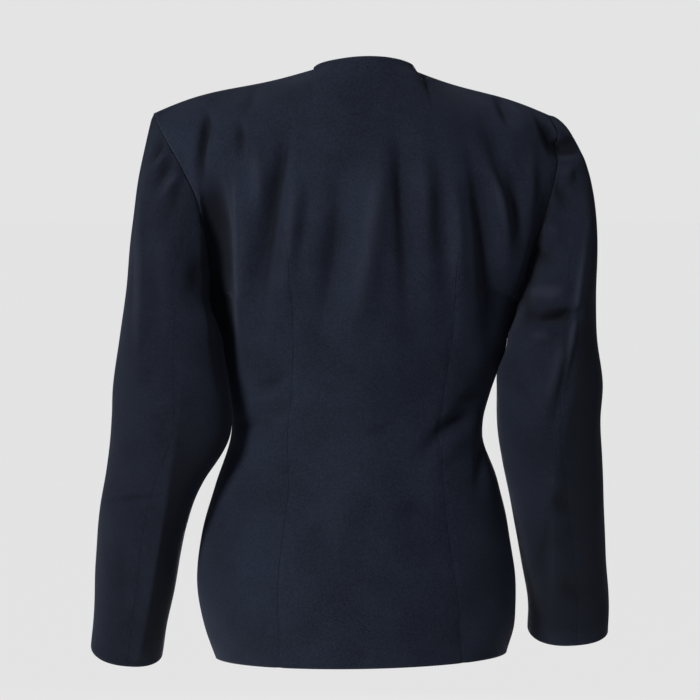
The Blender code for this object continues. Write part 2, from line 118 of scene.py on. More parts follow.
dartOffsets = table("z offset", (
    ("hem", -647, 100), ("hip", -570, 97), ("belly", -454, 84), ("ribs", -360, 83), ("tip", -200, 90),
    ("shoulder", -20, 118),
))
leftArm = table("z x y halfWidth halfDepth steps", (
    ("cuff", -645, 260, -30, 40, 45, 1),
    ("wrist", -610, 256, -21, 41, 47, 2),
    ("forearm", -550, 249, -5, 45, 53, 2),
    ("low elbow", -490, 242, 12, 48, 57, 2),
    ("elbow", -430, 227, 27, 54, 59, 1),
    ("high elbow", -388, 212, 33, 65, 60, 1),
    ("arm", -345, 212, 32, 62, 61, 1),
    ("upper arm", -305, 212, 27, 56, 62, 0),
))
rightArm = table("z x y halfWidth halfDepth steps", (
    ("cuff", -635, 239, -30, 45, 45, 1),
    ("wrist", -598, 237, -21, 45, 47, 2),
    ("forearm", -542, 227, -5, 47, 53, 2),
    ("low elbow", -485, 217, 12, 50, 57, 2),
    ("elbow", -430, 207, 27, 54, 59, 1),
    ("high elbow", -388, 202, 33, 56, 60, 1),
    ("arm", -345, 204, 32, 56, 61, 1),
    ("upper arm", -305, 207, 27, 48, 62, 0),
))

# Folds: a line from x1 z1 to x2 z2, bowed sideways by bend. wide1 and wide2: half widths at its ends,
# lean: over 1 the side towards the left arm is the softer one, depth: how far the cloth goes in or out,
# peak: where along the line it is deepest.
foldColumns = "x1 z1 x2 z2 bend wide1 wide2 lean depth peak"
backFolds = table(foldColumns, (
    ("left armhole crease", 168, -44, 180, -152, 5, 2.9, 6, 1.2, -10.5, 0.36),
    ("left armhole hollow", 168, -100, 152, -345, 0, 12, 12, 1, -12.5, 0.32),
    ("left blade edge", 146, -84, 134, -372, 0, 8, 10, 0.6, 7.0, 0.4),
    ("short pleat", 138, -54, 139, -118, 0, 4, 6, 1, -5.0, 0.4),
    ("left blade ridge", 127, -66, 114, -200, 0, 8, 10, 1, 5.0, 0.4),
    ("left long trough", 86, -62, 124, -345, 8, 5.5, 15, 1.3, -12.0, 0.26),
    ("left dart ridge", 82, -92, 97, -300, 0, 9, 12, 1, 6.0, 0.4),
    ("left inner trough", 66, -120, 86, -250, 0, 6, 9, 1, -3.5, 0.4),
    ("left neck trough", 34, -88, 70, -360, -6, 11, 19, 0.8, -8.0, 0.4),
    ("left shoulder trough", 114, -18, 137, -62, 0, 5, 7, 1, -4.2, 0.6),
    ("left pad trough", 166, -52, 176, -96, 0, 5, 7, 1, -3.6, 0.5),
    ("left armhole pinch", 206, -84, 193, -132, 0, 3.5, 4, 1, -2.5, 0.5),
    ("middle ridge", -14, -60, 34, -360, 0, 12, 18, 1, 9.5, 0.36),
    ("middle trough", -23, -60, -42, -350, 0, 8, 17, 0.7, -8.0, 0.3),
    ("right neck ridge", -50, -66, -58, -270, 0, 10, 12, 1, 5.0, 0.42),
    ("right dart trough", -68, -74, -86, -320, 0, 8, 13, 1.2, -5.4, 0.4),
    ("right dart ridge", -84, -98, -96, -290, 0, 8, 10, 1, 4.0, 0.4),
    ("right blade trough", -94, -52, -142, -350, -6, 9, 19, 0.8, -11.5, 0.5),
    ("right blade ridge", -118, -86, -152, -236, -5, 7, 9, 1, 6.5, 0.4),
    ("right armhole trough", -144, -96, -163, -212, -5, 6, 9, 1, -6.0, 0.5),
    ("right armhole ridge", -178, -70, -168, -206, 0, 8, 8, 1, 4.0, 0.45),
    ("right shoulder hollow", -122, -46, -150, -150, 0, 11, 14, 1, -7.0, 0.5),
    ("right pad spot", -146, -28, -160, -78, 0, 7, 10, 1, -5.5, 0.5),
    ("left waist dimple", 130, -350, 82, -328, 5, 7, 6, 1, -4.2, 0.5),
    ("left waist ridge", 130, -366, 86, -347, 2, 7, 7, 1, 2.6, 0.5),
    ("left low dimple", 120, -379, 78, -364, 3, 7, 6, 1, -3.2, 0.5),
    ("left waist pull", 146, -398, 104, -374, 2, 9, 8, 1, -4.0, 0.4),
    ("right waist pull", -136, -360, -84, -376, 3, 8, 8, 1, -3.6, 0.35),
    ("right waist sweep", -134, -374, -38, -440, 10, 10, 11, 1, -8.0, 0.32),
    ("right waist roll", -114, -404, -52, -452, 8, 10, 11, 1, 3.4, 0.4),
    ("middle waist pull", -38, -379, 22, -406, -3, 8, 8, 1, -2.6, 0.5),
    ("right hip dimple", -18, -485, -74, -473, -3, 9, 12, 1, -4.0, 0.5),
    ("middle hip dimple", 74, -514, 38, -478, 0, 11, 10, 1, -3.4, 0.5),
    ("left hem hollow", 98, -636, 44, -608, 0, 11, 12, 1, -2.8, 0.5),
    ("right side pull", -131, -402, -116, -484, 0, 7, 9, 1, -3.6, 0.4),
    ("left hip roll", 126, -424, 134, -596, 0, 22, 26, 1, 5.0, 0.45),
    ("right hem hollow", -96, -588, -104, -650, 0, 14, 16, 1, -3.0, 0.6),
))
frontFolds = table(foldColumns, (
    ("left bust trough", 74, -112, 92, -270, 5, 8, 12, 1, -7.7, 0.45),
    ("left bust ridge", 108, -100, 118, -250, 4, 9, 11, 1, 6.3, 0.5),
    ("left armhole trough", 150, -106, 146, -276, 4, 7, 11, 1, -9.8, 0.45),
    ("left side pull", 134, -298, 94, -354, 4, 7, 8, 1, -6.0, 0.4),
    ("left waist pull", 130, -370, 60, -397, 3, 7, 8, 1, -6.3, 0.4),
    ("left button pull", 72, -411, 26, -432, 2, 7, 5, 1, -3.9, 0.5),
    ("left hip dimple", 98, -468, 58, -490, 0, 10, 9, 1, -4.9, 0.5),
    ("left hem roll", 84, -556, 92, -648, 0, 16, 18, 1, 4.9, 0.6),
    ("right bust trough", -66, -116, -88, -288, -5, 8, 13, 1, -8.0, 0.45),
    ("right bust ridge", -100, -104, -122, -258, -4, 9, 12, 1, 6.3, 0.5),
    ("right armhole trough", -158, -102, -150, -270, -5, 7, 11, 1, -9.1, 0.45),
    ("right side pull", -132, -310, -90, -360, -3, 7, 8, 1, -5.6, 0.4),
    ("right waist pull", -124, -378, -56, -404, -2, 7, 8, 1, -7.0, 0.4),
    ("right button pull", -66, -351, -26, -362, 0, 6, 5, 1, -3.9, 0.5),
    ("right hip dimple", -92, -480, -50, -502, 0, 10, 10, 1, -4.9, 0.5),
    ("right hem roll", -82, -562, -96, -650, 0, 15, 18, 1, 5.2, 0.6),
    ("left shoulder trough", 112, -40, 126, -94, 0, 7, 8, 1, -4.2, 0.5),
    ("right shoulder trough", -118, -48, -128, -102, 0, 7, 8, 1, -3.9, 0.5),
))
leftArmBack = table(foldColumns, (
    ("pressed line", 243, -104, 251, -380, 0, 3.4, 5, 1, 3.2, 0.45),
    ("head pucker high", 216, -80, 238, -118, 0, 4, 5.5, 1, -5.4, 0.35),
    ("head ridge high", 210, -88, 240, -134, 0, 4.5, 5.5, 1, 3.4, 0.4),
    ("head pucker", 205, -96, 240, -150, 0, 5, 6.5, 1, -6.4, 0.35),
    ("head ridge", 198, -110, 236, -164, 0, 5.5, 6.5, 1, 4.4, 0.35),
    ("head pucker low", 192, -120, 227, -186, 0, 6, 9, 1, -4.2, 0.35),
    ("upper arm hollow", 232, -170, 232, -324, 0, 10, 12, 1, -4.4, 0.5),
    ("under arm pull", 174, -200, 196, -262, 0, 9, 10, 1, -3.0, 0.4),
    ("elbow pull", 222, -316, 259, -350, -3, 8, 8, 1, -3.6, 0.5),
    ("elbow roll", 194, -350, 246, -374, 3, 9, 10, 1, 3.0, 0.5),
    ("elbow fold", 186, -405, 248, -391, -4, 9, 9, 1, -3.2, 0.4),
    ("forearm crease", 292, -467, 214, -456, 0, 4, 4, 1, -2.8, 0.5),
    ("forearm hollow", 262, -476, 268, -614, 0, 10, 10, 1, -2.6, 0.5),
    ("wrist roll", 236, -595, 274, -607, 0, 7, 8, 1, -2.4, 0.5),
))
rightArmBack = table(foldColumns, (
    ("head roll", -204, -116, -240, -118, 0, 8, 9, 1, 5.0, 0.45),
    ("head spot", -226, -112, -229, -140, 0, 5, 6, 1, -4.0, 0.4),
    ("head pucker", -201, -122, -222, -166, 0, 6, 8, 1, -5.0, 0.45),
    ("outer roll", -232, -112, -237, -190, 0, 8, 9, 1, 3.6, 0.5),
    ("upper arm roll", -188, -168, -214, -192, 0, 9, 9, 1, 4.6, 0.5),
    ("upper arm dimple", -178, -196, -206, -222, 0, 8, 9, 1, -6.6, 0.45),
    ("elbow ridge", -166, -250, -222, -240, 3, 9, 8, 1, 8.0, 0.5),
    ("elbow trough", -158, -271, -234, -266, 3, 7.6, 7, 1.15, -16.0, 0.62),
    ("elbow roll", -163, -294, -204, -292, 0, 9, 9, 1, 4.6, 0.5),
    ("back seam line", -243, -136, -192, -450, 2, 3.2, 4.2, 1, 4.2, 0.5),
    ("light roll", -211, -276, -175, -402, -3, 9, 11, 1, 7.0, 0.35),
    ("roll trough", -217, -288, -191, -416, -2, 7, 9, 1, -6.0, 0.4),
    ("inner pull", -152, -330, -177, -382, 0, 8, 9, 1, -4.0, 0.4),
    ("outer hollow", -244, -216, -236, -400, 0, 10, 10, 1, -2.6, 0.5),
    ("forearm dimple", -195, -461, -224, -489, 0, 9, 9, 1, -4.2, 0.5),
    ("forearm pull", -183, -435, -216, -463, 0, 9, 9, 1, 3.2, 0.5),
    ("back seam turn", -194, -428, -214, -630, -2, 10, 9, 0.7, 4.0, 0.5),
    ("wrist hollow", -210, -558, -246, -592, 0, 9, 10, 1, -3.0, 0.5),
))
leftArmFront = table(foldColumns, (
    ("crook fold", 176, -320, 238, -347, 3, 6, 8, 1, -7.7, 0.35),
    ("crook ridge", 175, -340, 240, -367, 3, 7, 8, 1, 5.4, 0.4),
    ("crook low fold", 176, -362, 234, -400, 3, 6, 8, 1, -6.7, 0.35),
    ("crook low ridge", 180, -384, 238, -422, 0, 8, 9, 1, 4.2, 0.4),
    ("head pucker", 205, -86, 237, -130, 0, 4.5, 6, 1, -4.5, 0.4),
    ("head ridge", 197, -102, 235, -148, 0, 5, 6, 1, 3.5, 0.4),
    ("upper arm fold", 183, -184, 228, -252, 3, 8, 9, 1, -5.4, 0.4),
    ("forearm fold", 205, -469, 268, -489, 2, 7, 8, 1, -4.5, 0.4),
    ("forearm ridge", 211, -499, 266, -523, 0, 8, 9, 1, 3.5, 0.5),
    ("wrist hollow", 231, -565, 273, -591, 0, 9, 10, 1, -3.2, 0.5),
))
rightArmFront = table(foldColumns, (
    ("crook fold", -164, -304, -228, -335, -3, 6, 8, 1, -8.0, 0.35),
    ("crook ridge", -164, -325, -228, -357, -3, 7, 8, 1, 5.4, 0.4),
    ("crook low fold", -167, -349, -226, -390, -3, 6, 8, 1, -6.4, 0.35),
    ("crook low ridge", -171, -373, -228, -410, 0, 8, 9, 1, 4.2, 0.4),
    ("head pucker", -201, -90, -231, -138, 0, 4.5, 6, 1, -4.2, 0.4),
    ("head ridge", -193, -106, -229, -154, 0, 5, 6, 1, 3.5, 0.4),
    ("upper arm fold", -177, -174, -222, -240, -3, 8, 9, 1, -5.1, 0.4),
    ("forearm fold", -183, -461, -242, -481, -2, 7, 8, 1, -4.5, 0.4),
    ("forearm ridge", -187, -493, -242, -517, 0, 8, 9, 1, 3.5, 0.5),
    ("wrist hollow", -207, -555, -249, -583, 0, 9, 10, 1, -3.2, 0.5),
))


def curveThrough(knots, values, at):
    # cubic through the values at the knots, with averaged slopes, read at 'at'
    flat = values.reshape(len(knots), -1)
    slopes = np.gradient(flat, knots, axis=0)
    place = np.clip(np.searchsorted(knots, at, side="right") - 1, 0, len(knots) - 2)
    span = (knots[place + 1] - knots[place])[:, None]
    part = (at[:, None] - knots[place][:, None]) / span
    result = (
        (2 * part**3 - 3 * part**2 + 1) * flat[place]
        + (part**3 - 2 * part**2 + part) * span * slopes[place]
        + (3 * part**2 - 2 * part**3) * flat[place + 1]
        + (part**3 - part**2) * span * slopes[place + 1]
    )
    return result.reshape((len(at),) + values.shape[1:])


def rowPlaces(knots, steps):
    # each span between knots cut into its steps
    spans = [np.linspace(knots[i], knots[i + 1], int(steps[i]) + 1)[:-1] for i in range(len(knots) - 1)]
    return np.append(np.concatenate(spans), knots[-1])


def spread(coarse):
    # straight-line values between the coarse columns, each gap cut into the same number of parts
    places = np.linspace(0, len(coarse) - 1, (len(coarse) - 1) * cut["columnParts"] + 1)
    return np.interp(places, np.arange(len(coarse)), coarse)


def ease(part):
    # three squares less two cubes of the part, which rises softly from 0 to 1
    part = np.clip(part, 0.0, 1.0)
    return part * part * (3 - 2 * part)


def unit(vectors):
    # each vector over its own length
    return vectors / np.maximum(np.linalg.norm(vectors, axis=-1, keepdims=True), 1e-9)


def bell(distance, width):
    # e to the minus square of distance over width: 1 in the middle, soon 0 on both sides
    return np.exp(-((distance / width) ** 2))


def sideName(side):
    # side is 1 for the wearer's left and -1 for the right
    return "left" if side > 0 else "right"


def shoulderHeight(x, tipX, side):
    # falls with a slope and a curve from the neck, dips beside it and rises over the pad by one wave
    slope, curve, dip = cut[sideName(side) + "Shoulder"]
    run = np.maximum(x - cut["neckHalf"], 0.0)
    wave = dip * np.sin(2 * math.pi * run / (tipX - cut["neckHalf"]))
    return cut["neckSideZ"] - slope * run - curve * run**2 - wave


def halfColumns(front):
    # coarse columns from the middle to the edge, one more in front for the lap's edge
    return cut["neckSteps"] + cut["shoulderSteps"] + (2 if front else 1)


def topEdge(side, front):
    # a quarter ellipse from the middle round the neck, then the shoulder seam out to its tip
    kind = "front" if front else "back"
    columns = halfColumns(front)
    neckColumns = columns - cut["shoulderSteps"]
    bow = np.linspace(0.0, math.pi / 2, neckColumns)
    if front:
        first = math.asin(cut["lapHalf"] / cut["neckHalf"])
        bow = np.append(0.0, np.linspace(first, math.pi / 2, neckColumns - 1))
    bow = spread(np.append(bow, np.full(cut["shoulderSteps"], math.pi / 2)))
    run = spread(np.append(np.zeros(neckColumns - 1), np.linspace(0.0, 1.0, cut["shoulderSteps"] + 1)))
    tipX = abs(body[sideName(side) + "X"][-1])
    x = cut["neckHalf"] * np.sin(bow) + (tipX - cut["neckHalf"]) * run
    drop = body["edgeZ"][-1] - shoulderHeight(tipX, tipX, side)
    power = cut["frontNeckPower"] if front else 1.0
    y = (
        cut["neckSideY"]
        + (body[kind + "Y"][-1] - cut["neckSideY"]) * np.cos(bow)
        + (body["backEdgeY"][-1] - cut["neckSideY"]) * run
    )
    z = (
        shoulderHeight(x, tipX, side)
        + (body[kind + "Z"][-1] - cut["neckSideZ"]) * np.clip(np.cos(bow), 0, 1) ** power
        + drop * run**2
    )
    return np.stack([side * x, y, z], 1)


def middleX(level):
    # halfway between the side seams below the armholes, and 0 above them
    sway = 0.5 * (body["leftX"][level] + body["rightX"][level])
    return sway if body["turn"][level] >= 90 else 0.0


def columnTurns(level, side, front):
    # turning angle of each column, middle to edge, crowded at the lap's edge or at the dart
    edge = abs(body[sideName(side) + "X"][level] - middleX(level))
    turn = math.radians(body["turn"][level])
    columns = halfColumns(front)
    if front:
        first = math.asin(min(1.0, cut["lapHalf"] / edge * math.sin(turn)))
        return spread(np.append(0.0, np.linspace(first, turn, columns - 1)))
    order = np.argsort(dartOffsets["z"])
    offset = np.interp(body["backZ"][level], dartOffsets["z"][order], dartOffsets["offset"][order])
    inner, dart, outer = (
        math.asin((offset + shift) / edge * math.sin(turn)) for shift in (-cut["dartHalf"], 0.0, cut["dartHalf"])
    )
    return spread(np.concatenate([
        np.linspace(0.0, inner, cut["dartColumn"]),
        [dart],
        np.linspace(outer, turn, columns - cut["dartColumn"] - 1),
    ]))


def bodyRow(level, side, front):
    # an arc from the middle to the edge, mixed with the top edge near the shoulders
    turns = columnTurns(level, side, front)
    size = {name: column[level] for name, column in body.items()}
    middle, edgeX = middleX(level), size[sideName(side) + "X"]
    kind = "front" if front else "back"
    edgeY, edgeZ, turn = size[kind + "EdgeY"], size["edgeZ"], math.radians(size["turn"])
    rise = (np.cos(turns) - math.cos(turn)) / (1.0 - math.cos(turn))
    arc = np.stack([
        middle + (edgeX - middle) * np.sin(turns) / math.sin(turn),
        edgeY + (size[kind + "Y"] - edgeY) * rise,
        edgeZ + (size[kind + "Z"] - edgeZ) * rise,
    ], 1)
    top = topEdge(side, front)
    run = np.linspace(0.0, 1.0, len(top))[:, None]
    yoke = top + (arc[0] - top[0]) * (1 - run) + (arc[-1] - top[-1]) * run
    share = size["yoke"]
    weight = share ** np.array([1.0, cut["yokeDepthPower"], 1.0])
    row = arc * (1 - weight) + yoke * weight
    corner = bell(np.abs(row[:, 0]) - cut["neckHalf"], cut["neckLiftWidth"])
    row[:, 2] += cut["neckLift"] * 4 * share * (1 - share) * corner
    return row


def bodyNet(front):
    # sections of the front or the back, hem to top and right to left, joined by smooth curves
    levels = []
    for level in range(len(body["turn"])):
        left = bodyRow(level, 1, front)
        right = bodyRow(level, -1, front)
        levels.append(np.concatenate([right[::-1], left[1:]]))
    climb = np.hypot(np.diff(body["edgeZ"]), np.diff(body["backEdgeY"]))
    knots = np.append(0.0, np.cumsum(climb))
    return curveThrough(knots, np.array(levels), rowPlaces(knots, body["steps"] * cut["rowParts"]))


def sleeveNet(sizes, loop, side, head):
    # rounded-square rings along the arm, then a cubic curve from the last ring to each armhole point
    axis = np.stack([side * sizes["x"], sizes["y"], sizes["z"]], 1)
    knots = np.append(0.0, np.cumsum(np.linalg.norm(np.diff(axis, axis=0), axis=1)))
    places = rowPlaces(knots, sizes["steps"] * cut["sleeveParts"])
    centres = curveThrough(knots, axis, places)
    halfWidths = curveThrough(knots, sizes["halfWidth"], places)[:, None, None]
    halfDepths = curveThrough(knots, sizes["halfDepth"], places)[:, None, None]
    coarse = places[:: cut["sleeveParts"]]
    ways = unit(np.gradient(curveThrough(knots, axis, coarse), axis=0))
    ways = unit(curveThrough(coarse, ways, places))
    across = unit(np.cross(np.array([0.0, 1.0, 0.0]), ways)) * side
    depth = unit(np.cross(ways, across)) * side
    angles = -side * np.linspace(0.0, 2 * math.pi, len(loop), endpoint=False)
    cosine, sine = np.cos(angles), np.sin(angles)
    power = cut["squareness"]
    size = (np.abs(cosine) ** power + np.abs(sine) ** power) ** (-1.0 / power)
    rings = (
        centres[:, None]
        - (cosine * size)[None, :, None] * halfWidths * across[:, None]
        + (sine * size)[None, :, None] * halfDepths * depth[:, None]
    )
    start = rings[-1]
    rise = unit(start - rings[-1 - cut["sleeveParts"]])
    backward = np.sin(angles)
    top = np.clip(-np.cos(angles), 0.0, 1.0)
    out, down = (
        (low + more * np.abs(backward)) * (1 - top) + high * top
        for (low, more), high in ((cut["underOut"], head[0]), (cut["underDown"], head[1]))
    )
    leave = unit(np.stack([side * out, cut["capBackward"] * backward, -down], 1))
    reach = cut["capReach"] * np.linalg.norm(loop - start, axis=1)[:, None]
    leave = leave * (reach[:, 0] * (1 - top) + head[2] * top)[:, None]
    part = np.linspace(0.0, 1.0, cut["capSteps"] * cut["sleeveParts"] + 1)[1:, None, None]
    cap = (
        (1 - part) ** 3 * start
        + 3 * (1 - part) ** 2 * part * (start + rise * reach)
        + 3 * (1 - part) * part**2 * (loop + leave)
        + part**3 * loop
    )
    return np.concatenate([rings, cap])


def wrapped(net, wrap):
    # a net that closes round gets its first column again at the end
    return np.concatenate([net, net[:, :1]], axis=1) if wrap else net


def crossedDiagonals(net):
    # cross product of the two diagonals of each cell, as long as twice its area
    return np.cross(net[1:, 1:] - net[:-1, :-1], net[1:, :-1] - net[:-1, 1:])


def gridNormals(net, wrap):
    # sum of the crossed diagonals of the cells round each point
    net = wrapped(net, wrap)
    faces = crossedDiagonals(net)
    sums = np.zeros_like(net)
    for rows in (slice(None, -1), slice(1, None)):
        for cols in (slice(None, -1), slice(1, None)):
            sums[rows, cols] += faces
    if wrap:
        sums[:, 0] += sums[:, -1]
        sums = sums[:, :-1]
    return sums


def sharedDirections(points, directions, weights):
    # average direction of all points in the same place, and how many share it
    _, group, count = np.unique(points.round(2), axis=0, return_inverse=True, return_counts=True)
    group = group.ravel()
    sums = np.zeros((group.max() + 1, 3))
    np.add.at(sums, group, directions * weights[:, None])
    return unit(sums)[group], count[group]


def outwardNormals(panels, sleeves):
    # outward unit normals, alike wherever two nets meet; front and back are averaged first
    nets = {**panels, **sleeves}
    own = {name: unit(gridNormals(net, name in sleeves)).reshape(-1, 3) for name, net in nets.items()}
    bodyPoints = np.concatenate([net.reshape(-1, 3) for net in panels.values()])
    bodyOwn = np.concatenate([own[name] for name in panels])
    smoothBody, count = sharedDirections(bodyPoints, bodyOwn, np.ones(len(bodyPoints)))
    points = np.concatenate([bodyPoints] + [net.reshape(-1, 3) for net in sleeves.values()])
    normals = np.concatenate([smoothBody] + [own[name] for name in sleeves])
    weights = np.append(1.0 / count, np.ones(len(points) - len(count)))
    shared, _ = sharedDirections(points, normals, weights)
    ends = np.cumsum([net.shape[0] * net.shape[1] for net in nets.values()])[:-1]
    return {name: part.reshape(nets[name].shape) for name, part in zip(nets, np.split(shared, ends))}


def besideLine(net, x1, z1, x2, z2):
    # each point's share of the way from x1 z1 to x2 z2, and its distance to the left of that line
    dx, dz = x2 - x1, z2 - z1
    length = math.hypot(dx, dz)
    x, z = net[..., 0] - x1, net[..., 2] - z1
    return (x * dx + z * dz) / length**2, (z * dx - x * dz) / length


def foldRelief(net, folds, power=2):
    # for each fold a bell across its bowed line, wider at one end and on one side, eased along it;
    # the second result is the same with each depth over its width: painted shade in a narrow crease, painted highlight
    # on a narrow ridge
    relief, shade = np.zeros(net.shape[:2]), np.zeros(net.shape[:2])
    for x1, z1, x2, z2, bend, wide1, wide2, lean, depth, peak in zip(*folds.values()):
        part, away = besideLine(net, x1, z1, x2, z2)
        inside = np.clip(part, 0.0, 1.0)
        away = away - bend * 4 * inside * (1 - inside)
        wide = (wide1 + (wide2 - wide1) * inside) * lean ** np.sign(away)
        along = ease(np.minimum(part / peak, (1 - part) / (1 - peak)))
        push = depth * np.exp(-(np.abs(away / wide) ** power)) * along
        relief += push
        shade += push / wide
    return relief, shade


waveLook = {"count": 9, "shortest": 0.045, "longest": 0.14, "turn": 0.9, "level": 3.0, "seeds": {"body": 5, "arm": 11}}


def slowWaves(u, v, seed, size):
    # a few crossing sine waves with fixed phases, for cloth that isn't quite smooth
    waves = np.random.default_rng(seed)
    total = np.zeros_like(u)
    for _ in range(waveLook["count"]):
        length = waves.uniform(waveLook["shortest"], waveLook["longest"])
        turn = waves.uniform(-waveLook["turn"], waveLook["turn"])
        phase = waves.uniform(0, 2 * math.pi)
        total += np.sin(2 * math.pi * (u * math.cos(turn) + v * math.sin(turn)) / length + phase)
    return total * size / waveLook["level"]


def lengths(net, wrap):
    # distances over the cloth, in millimetres: along each row from its start, and up each column
    wide = wrapped(net, wrap)
    across = np.cumsum(np.linalg.norm(np.diff(wide, axis=1), axis=2), axis=1)
    up = np.cumsum(np.linalg.norm(np.diff(wide, axis=0), axis=2), axis=0)
    return np.pad(across, ((0, 0), (1, 0))), np.pad(up, ((1, 0), (0, 0)))


def shellMesh(name, outer, inward, away, uv, marks, material, wrap):
    # outer grid, inner grid one wall further in, and a rim round each open border by way of a middle
    # line that stands out by 'away'; uv in metres, marks are one number for each point by name
    rows, cols = outer.shape[:2]
    wide = cols + 1 if wrap else cols
    count = rows * cols
    index = np.arange(rows)[:, None] * cols + np.arange(wide) % cols
    place = np.arange(rows * wide).reshape(rows, wide)

    def cells(grid):
        # the four numbers round each cell
        return np.stack([grid[:-1, :-1], grid[:-1, 1:], grid[1:, 1:], grid[1:, :-1]], -1).reshape(-1, 4)

    def borders(grid):
        # the two ends of a tube, or one way round a panel
        if wrap:
            return [grid[0], grid[-1, ::-1]]
        return [np.concatenate([grid[0, :-1], grid[:-1, -1], grid[-1, :0:-1], grid[:0:-1, 0], grid[:1, 0]])]

    edgeIndex = np.unique(np.concatenate(borders(index)))
    middleOf = np.zeros(count, int)
    middleOf[edgeIndex] = 2 * count + np.arange(len(edgeIndex))
    inner = outer + inward
    middle = (outer + inward / 2 + away).reshape(-1, 3)[edgeIndex]
    faces, corners = [cells(index), cells(index)[:, ::-1] + count], [cells(place), cells(place)[:, ::-1]]
    for chain, where in zip(borders(index), borders(place)):
        here, after = chain[:-1], chain[1:]
        faces.append(np.stack([after, here, middleOf[here], middleOf[after]], 1))
        faces.append(np.stack([middleOf[after], middleOf[here], here + count, after + count], 1))
        corners += [np.stack([where[1:], where[:-1], where[:-1], where[1:]], 1)] * 2
    points = np.concatenate([outer.reshape(-1, 3), inner.reshape(-1, 3), middle]) * mm
    mesh = bpy.data.meshes.new(name)
    mesh.from_pydata(points.tolist(), [], np.concatenate(faces).tolist())
    mesh.update()
    layer = mesh.uv_layers.new(name="cloth")
    layer.data.foreach_set("uv", uv.reshape(-1, 2)[np.concatenate(corners).ravel()].astype(np.float32).ravel())
    for attribute, values in marks.items():
        flat = values.reshape(-1)
        data = np.concatenate([flat, flat, flat[edgeIndex]]).astype(np.float32)
        mesh.attributes.new(attribute, "FLOAT", "POINT").data.foreach_set("value", data)
    mesh.shade_smooth()
    mesh.materials.append(material)
    return addObject(name, mesh)


# materials
clothLook = {
    "deep": (0.0028, 0.0041, 0.0092, 1.0), "pale": (0.0117, 0.0164, 0.0296, 1.0), "thread": 0.00095,
    "line": (0.0010, 0.0012, 0.0024, 1.0), "lineShade": 0.6, "wear": (0.020, 0.023, 0.034, 1.0), "wearShade": 0.2,
    # crease is the colour of painted shade in fold troughs, ridge that of a painted highlight on fold ridges
    "crease": (0.0008, 0.0009, 0.0018, 1.0), "creaseStep": (-1.3, 0.0, 0.68, 0.0),
    "ridge": (0.0240, 0.0280, 0.0430, 1.0), "ridgeStep": (0.1, 0.9, 0.0, 0.35),
    "sheenWeight": 0.05, "sheenRoughness": 0.5, "sheenTint": (0.62, 0.72, 1.0, 1.0), "specular": 0.12,
}
# the same navy cloth painted darker on the sleeves: painted shade
shadedArmLook = {**clothLook, "deep": (0.0018, 0.0027, 0.0062, 1.0), "pale": (0.0080, 0.0113, 0.0206, 1.0)}
turnUps = {"hem": 38.0, "cuff": 35.0}
buttonLook = {
    "dark": (0.006, 0.007, 0.011, 1.0), "swirl": (0.016, 0.018, 0.028, 1.0), "specular": 0.5, "coat": 0.2,
    "swirlScale": 160.0, "swirlStep": (0.4, 0.65), "scratchScale": 2600.0, "scratchStep": (0.3, 0.8, 0.22, 0.42),
    "scratchStrength": 0.3, "scratchDepth": 0.00005,
}


class NodeDesk:
    # short calls that add a node to one tree and link its inputs

    def __init__(self, tree):
        # the tree that the nodes go into
        self.tree = tree

    def feed(self, inputs, values):
        # a socket is linked to its input, and any other value is set on it
        for key, value in values.items():
            if isinstance(value, bpy.types.NodeSocket):
                self.tree.links.new(value, inputs[key])
            else:
                inputs[key].default_value = value

    def add(self, kind, inputs=(), **settings):
        # a node of the kind, with its settings made before its inputs
        node = self.tree.nodes.new(kind)
        for key, value in settings.items():
            setattr(node, key, value)
        self.feed(node.inputs, dict(inputs))
        return node

    def maths(self, operation, first, second=0.0):
        # first and second joined by the operation
        return self.add("ShaderNodeMath", {0: first, 1: second}, operation=operation).outputs[0]

    def plus(self, first, second):
        # first plus second
        return self.maths("ADD", first, second)

    def times(self, first, second):
        # first times second
        return self.maths("MULTIPLY", first, second)

    def minus(self, first, second):
        # first less second
        return self.maths("SUBTRACT", first, second)

    def between(self, value, low, high, start=0.0, end=1.0):
        # a soft step from start, where the value is low, to end, where it is high
        node = self.add(
            "ShaderNodeMapRange",
            {"Value": value, "From Min": low, "From Max": high, "To Min": start, "To Max": end},
            interpolation_type="SMOOTHSTEP",
        )
        return node.outputs["Result"]

    def noise(self, vector, scale, detail=2.0, roughness=0.5):
        # soft noise with so many cells to a metre
        node = self.add(
            "ShaderNodeTexNoise", {"Vector": vector, "Scale": scale, "Detail": detail, "Roughness": roughness}
        )
        return node.outputs["Fac"]

    def blend(self, part, first, second):
        # first where the part is 0, second where it is 1
        node = self.add("ShaderNodeMix", {"Factor": part}, data_type="RGBA")
        self.feed(node.inputs, {6: first, 7: second})
        return node.outputs[2]


def newGroup(name, inputs, outputs):
    # a node group with named inputs and outputs, a desk for it, and its sockets inside
    group = bpy.data.node_groups.new(name, "ShaderNodeTree")
    for way, sockets in (("INPUT", inputs), ("OUTPUT", outputs)):
        for label, kind in sockets:
            group.interface.new_socket(name=label, in_out=way, socket_type="NodeSocket" + kind)
    desk = NodeDesk(group)
    return group, desk, desk.add("NodeGroupInput").outputs, desk.add("NodeGroupOutput").inputs


def newMaterial(name):
    # a material with its own node tree, a desk for it, and its shader
    material = bpy.data.materials.new(name)
    material.use_nodes = True
    return material, NodeDesk(material.node_tree), material.node_tree.nodes["Principled BSDF"]


# each soft step: from, to, and the values at both, which are 0 and 1 if not given
weaveLook = {
    "slant": 0.55, "ribs": 0.6, "threads": 0.4, "heatherScale": 560.0, "heatherRoughness": 0.62, "cloudScale": 16.0,
    "grainScale": 1300.0, "heather": 0.6, "grain": 0.4, "yarnStep": (0.38, 0.62), "weaveTone": 0.26,
    "yarnTone": 0.7, "cloudStep": (0.3, 0.7, 0.0, 0.3), "roughness": 0.74, "heatherRough": 0.22, "fuzz": 0.10,
    "relief": 0.07,
}


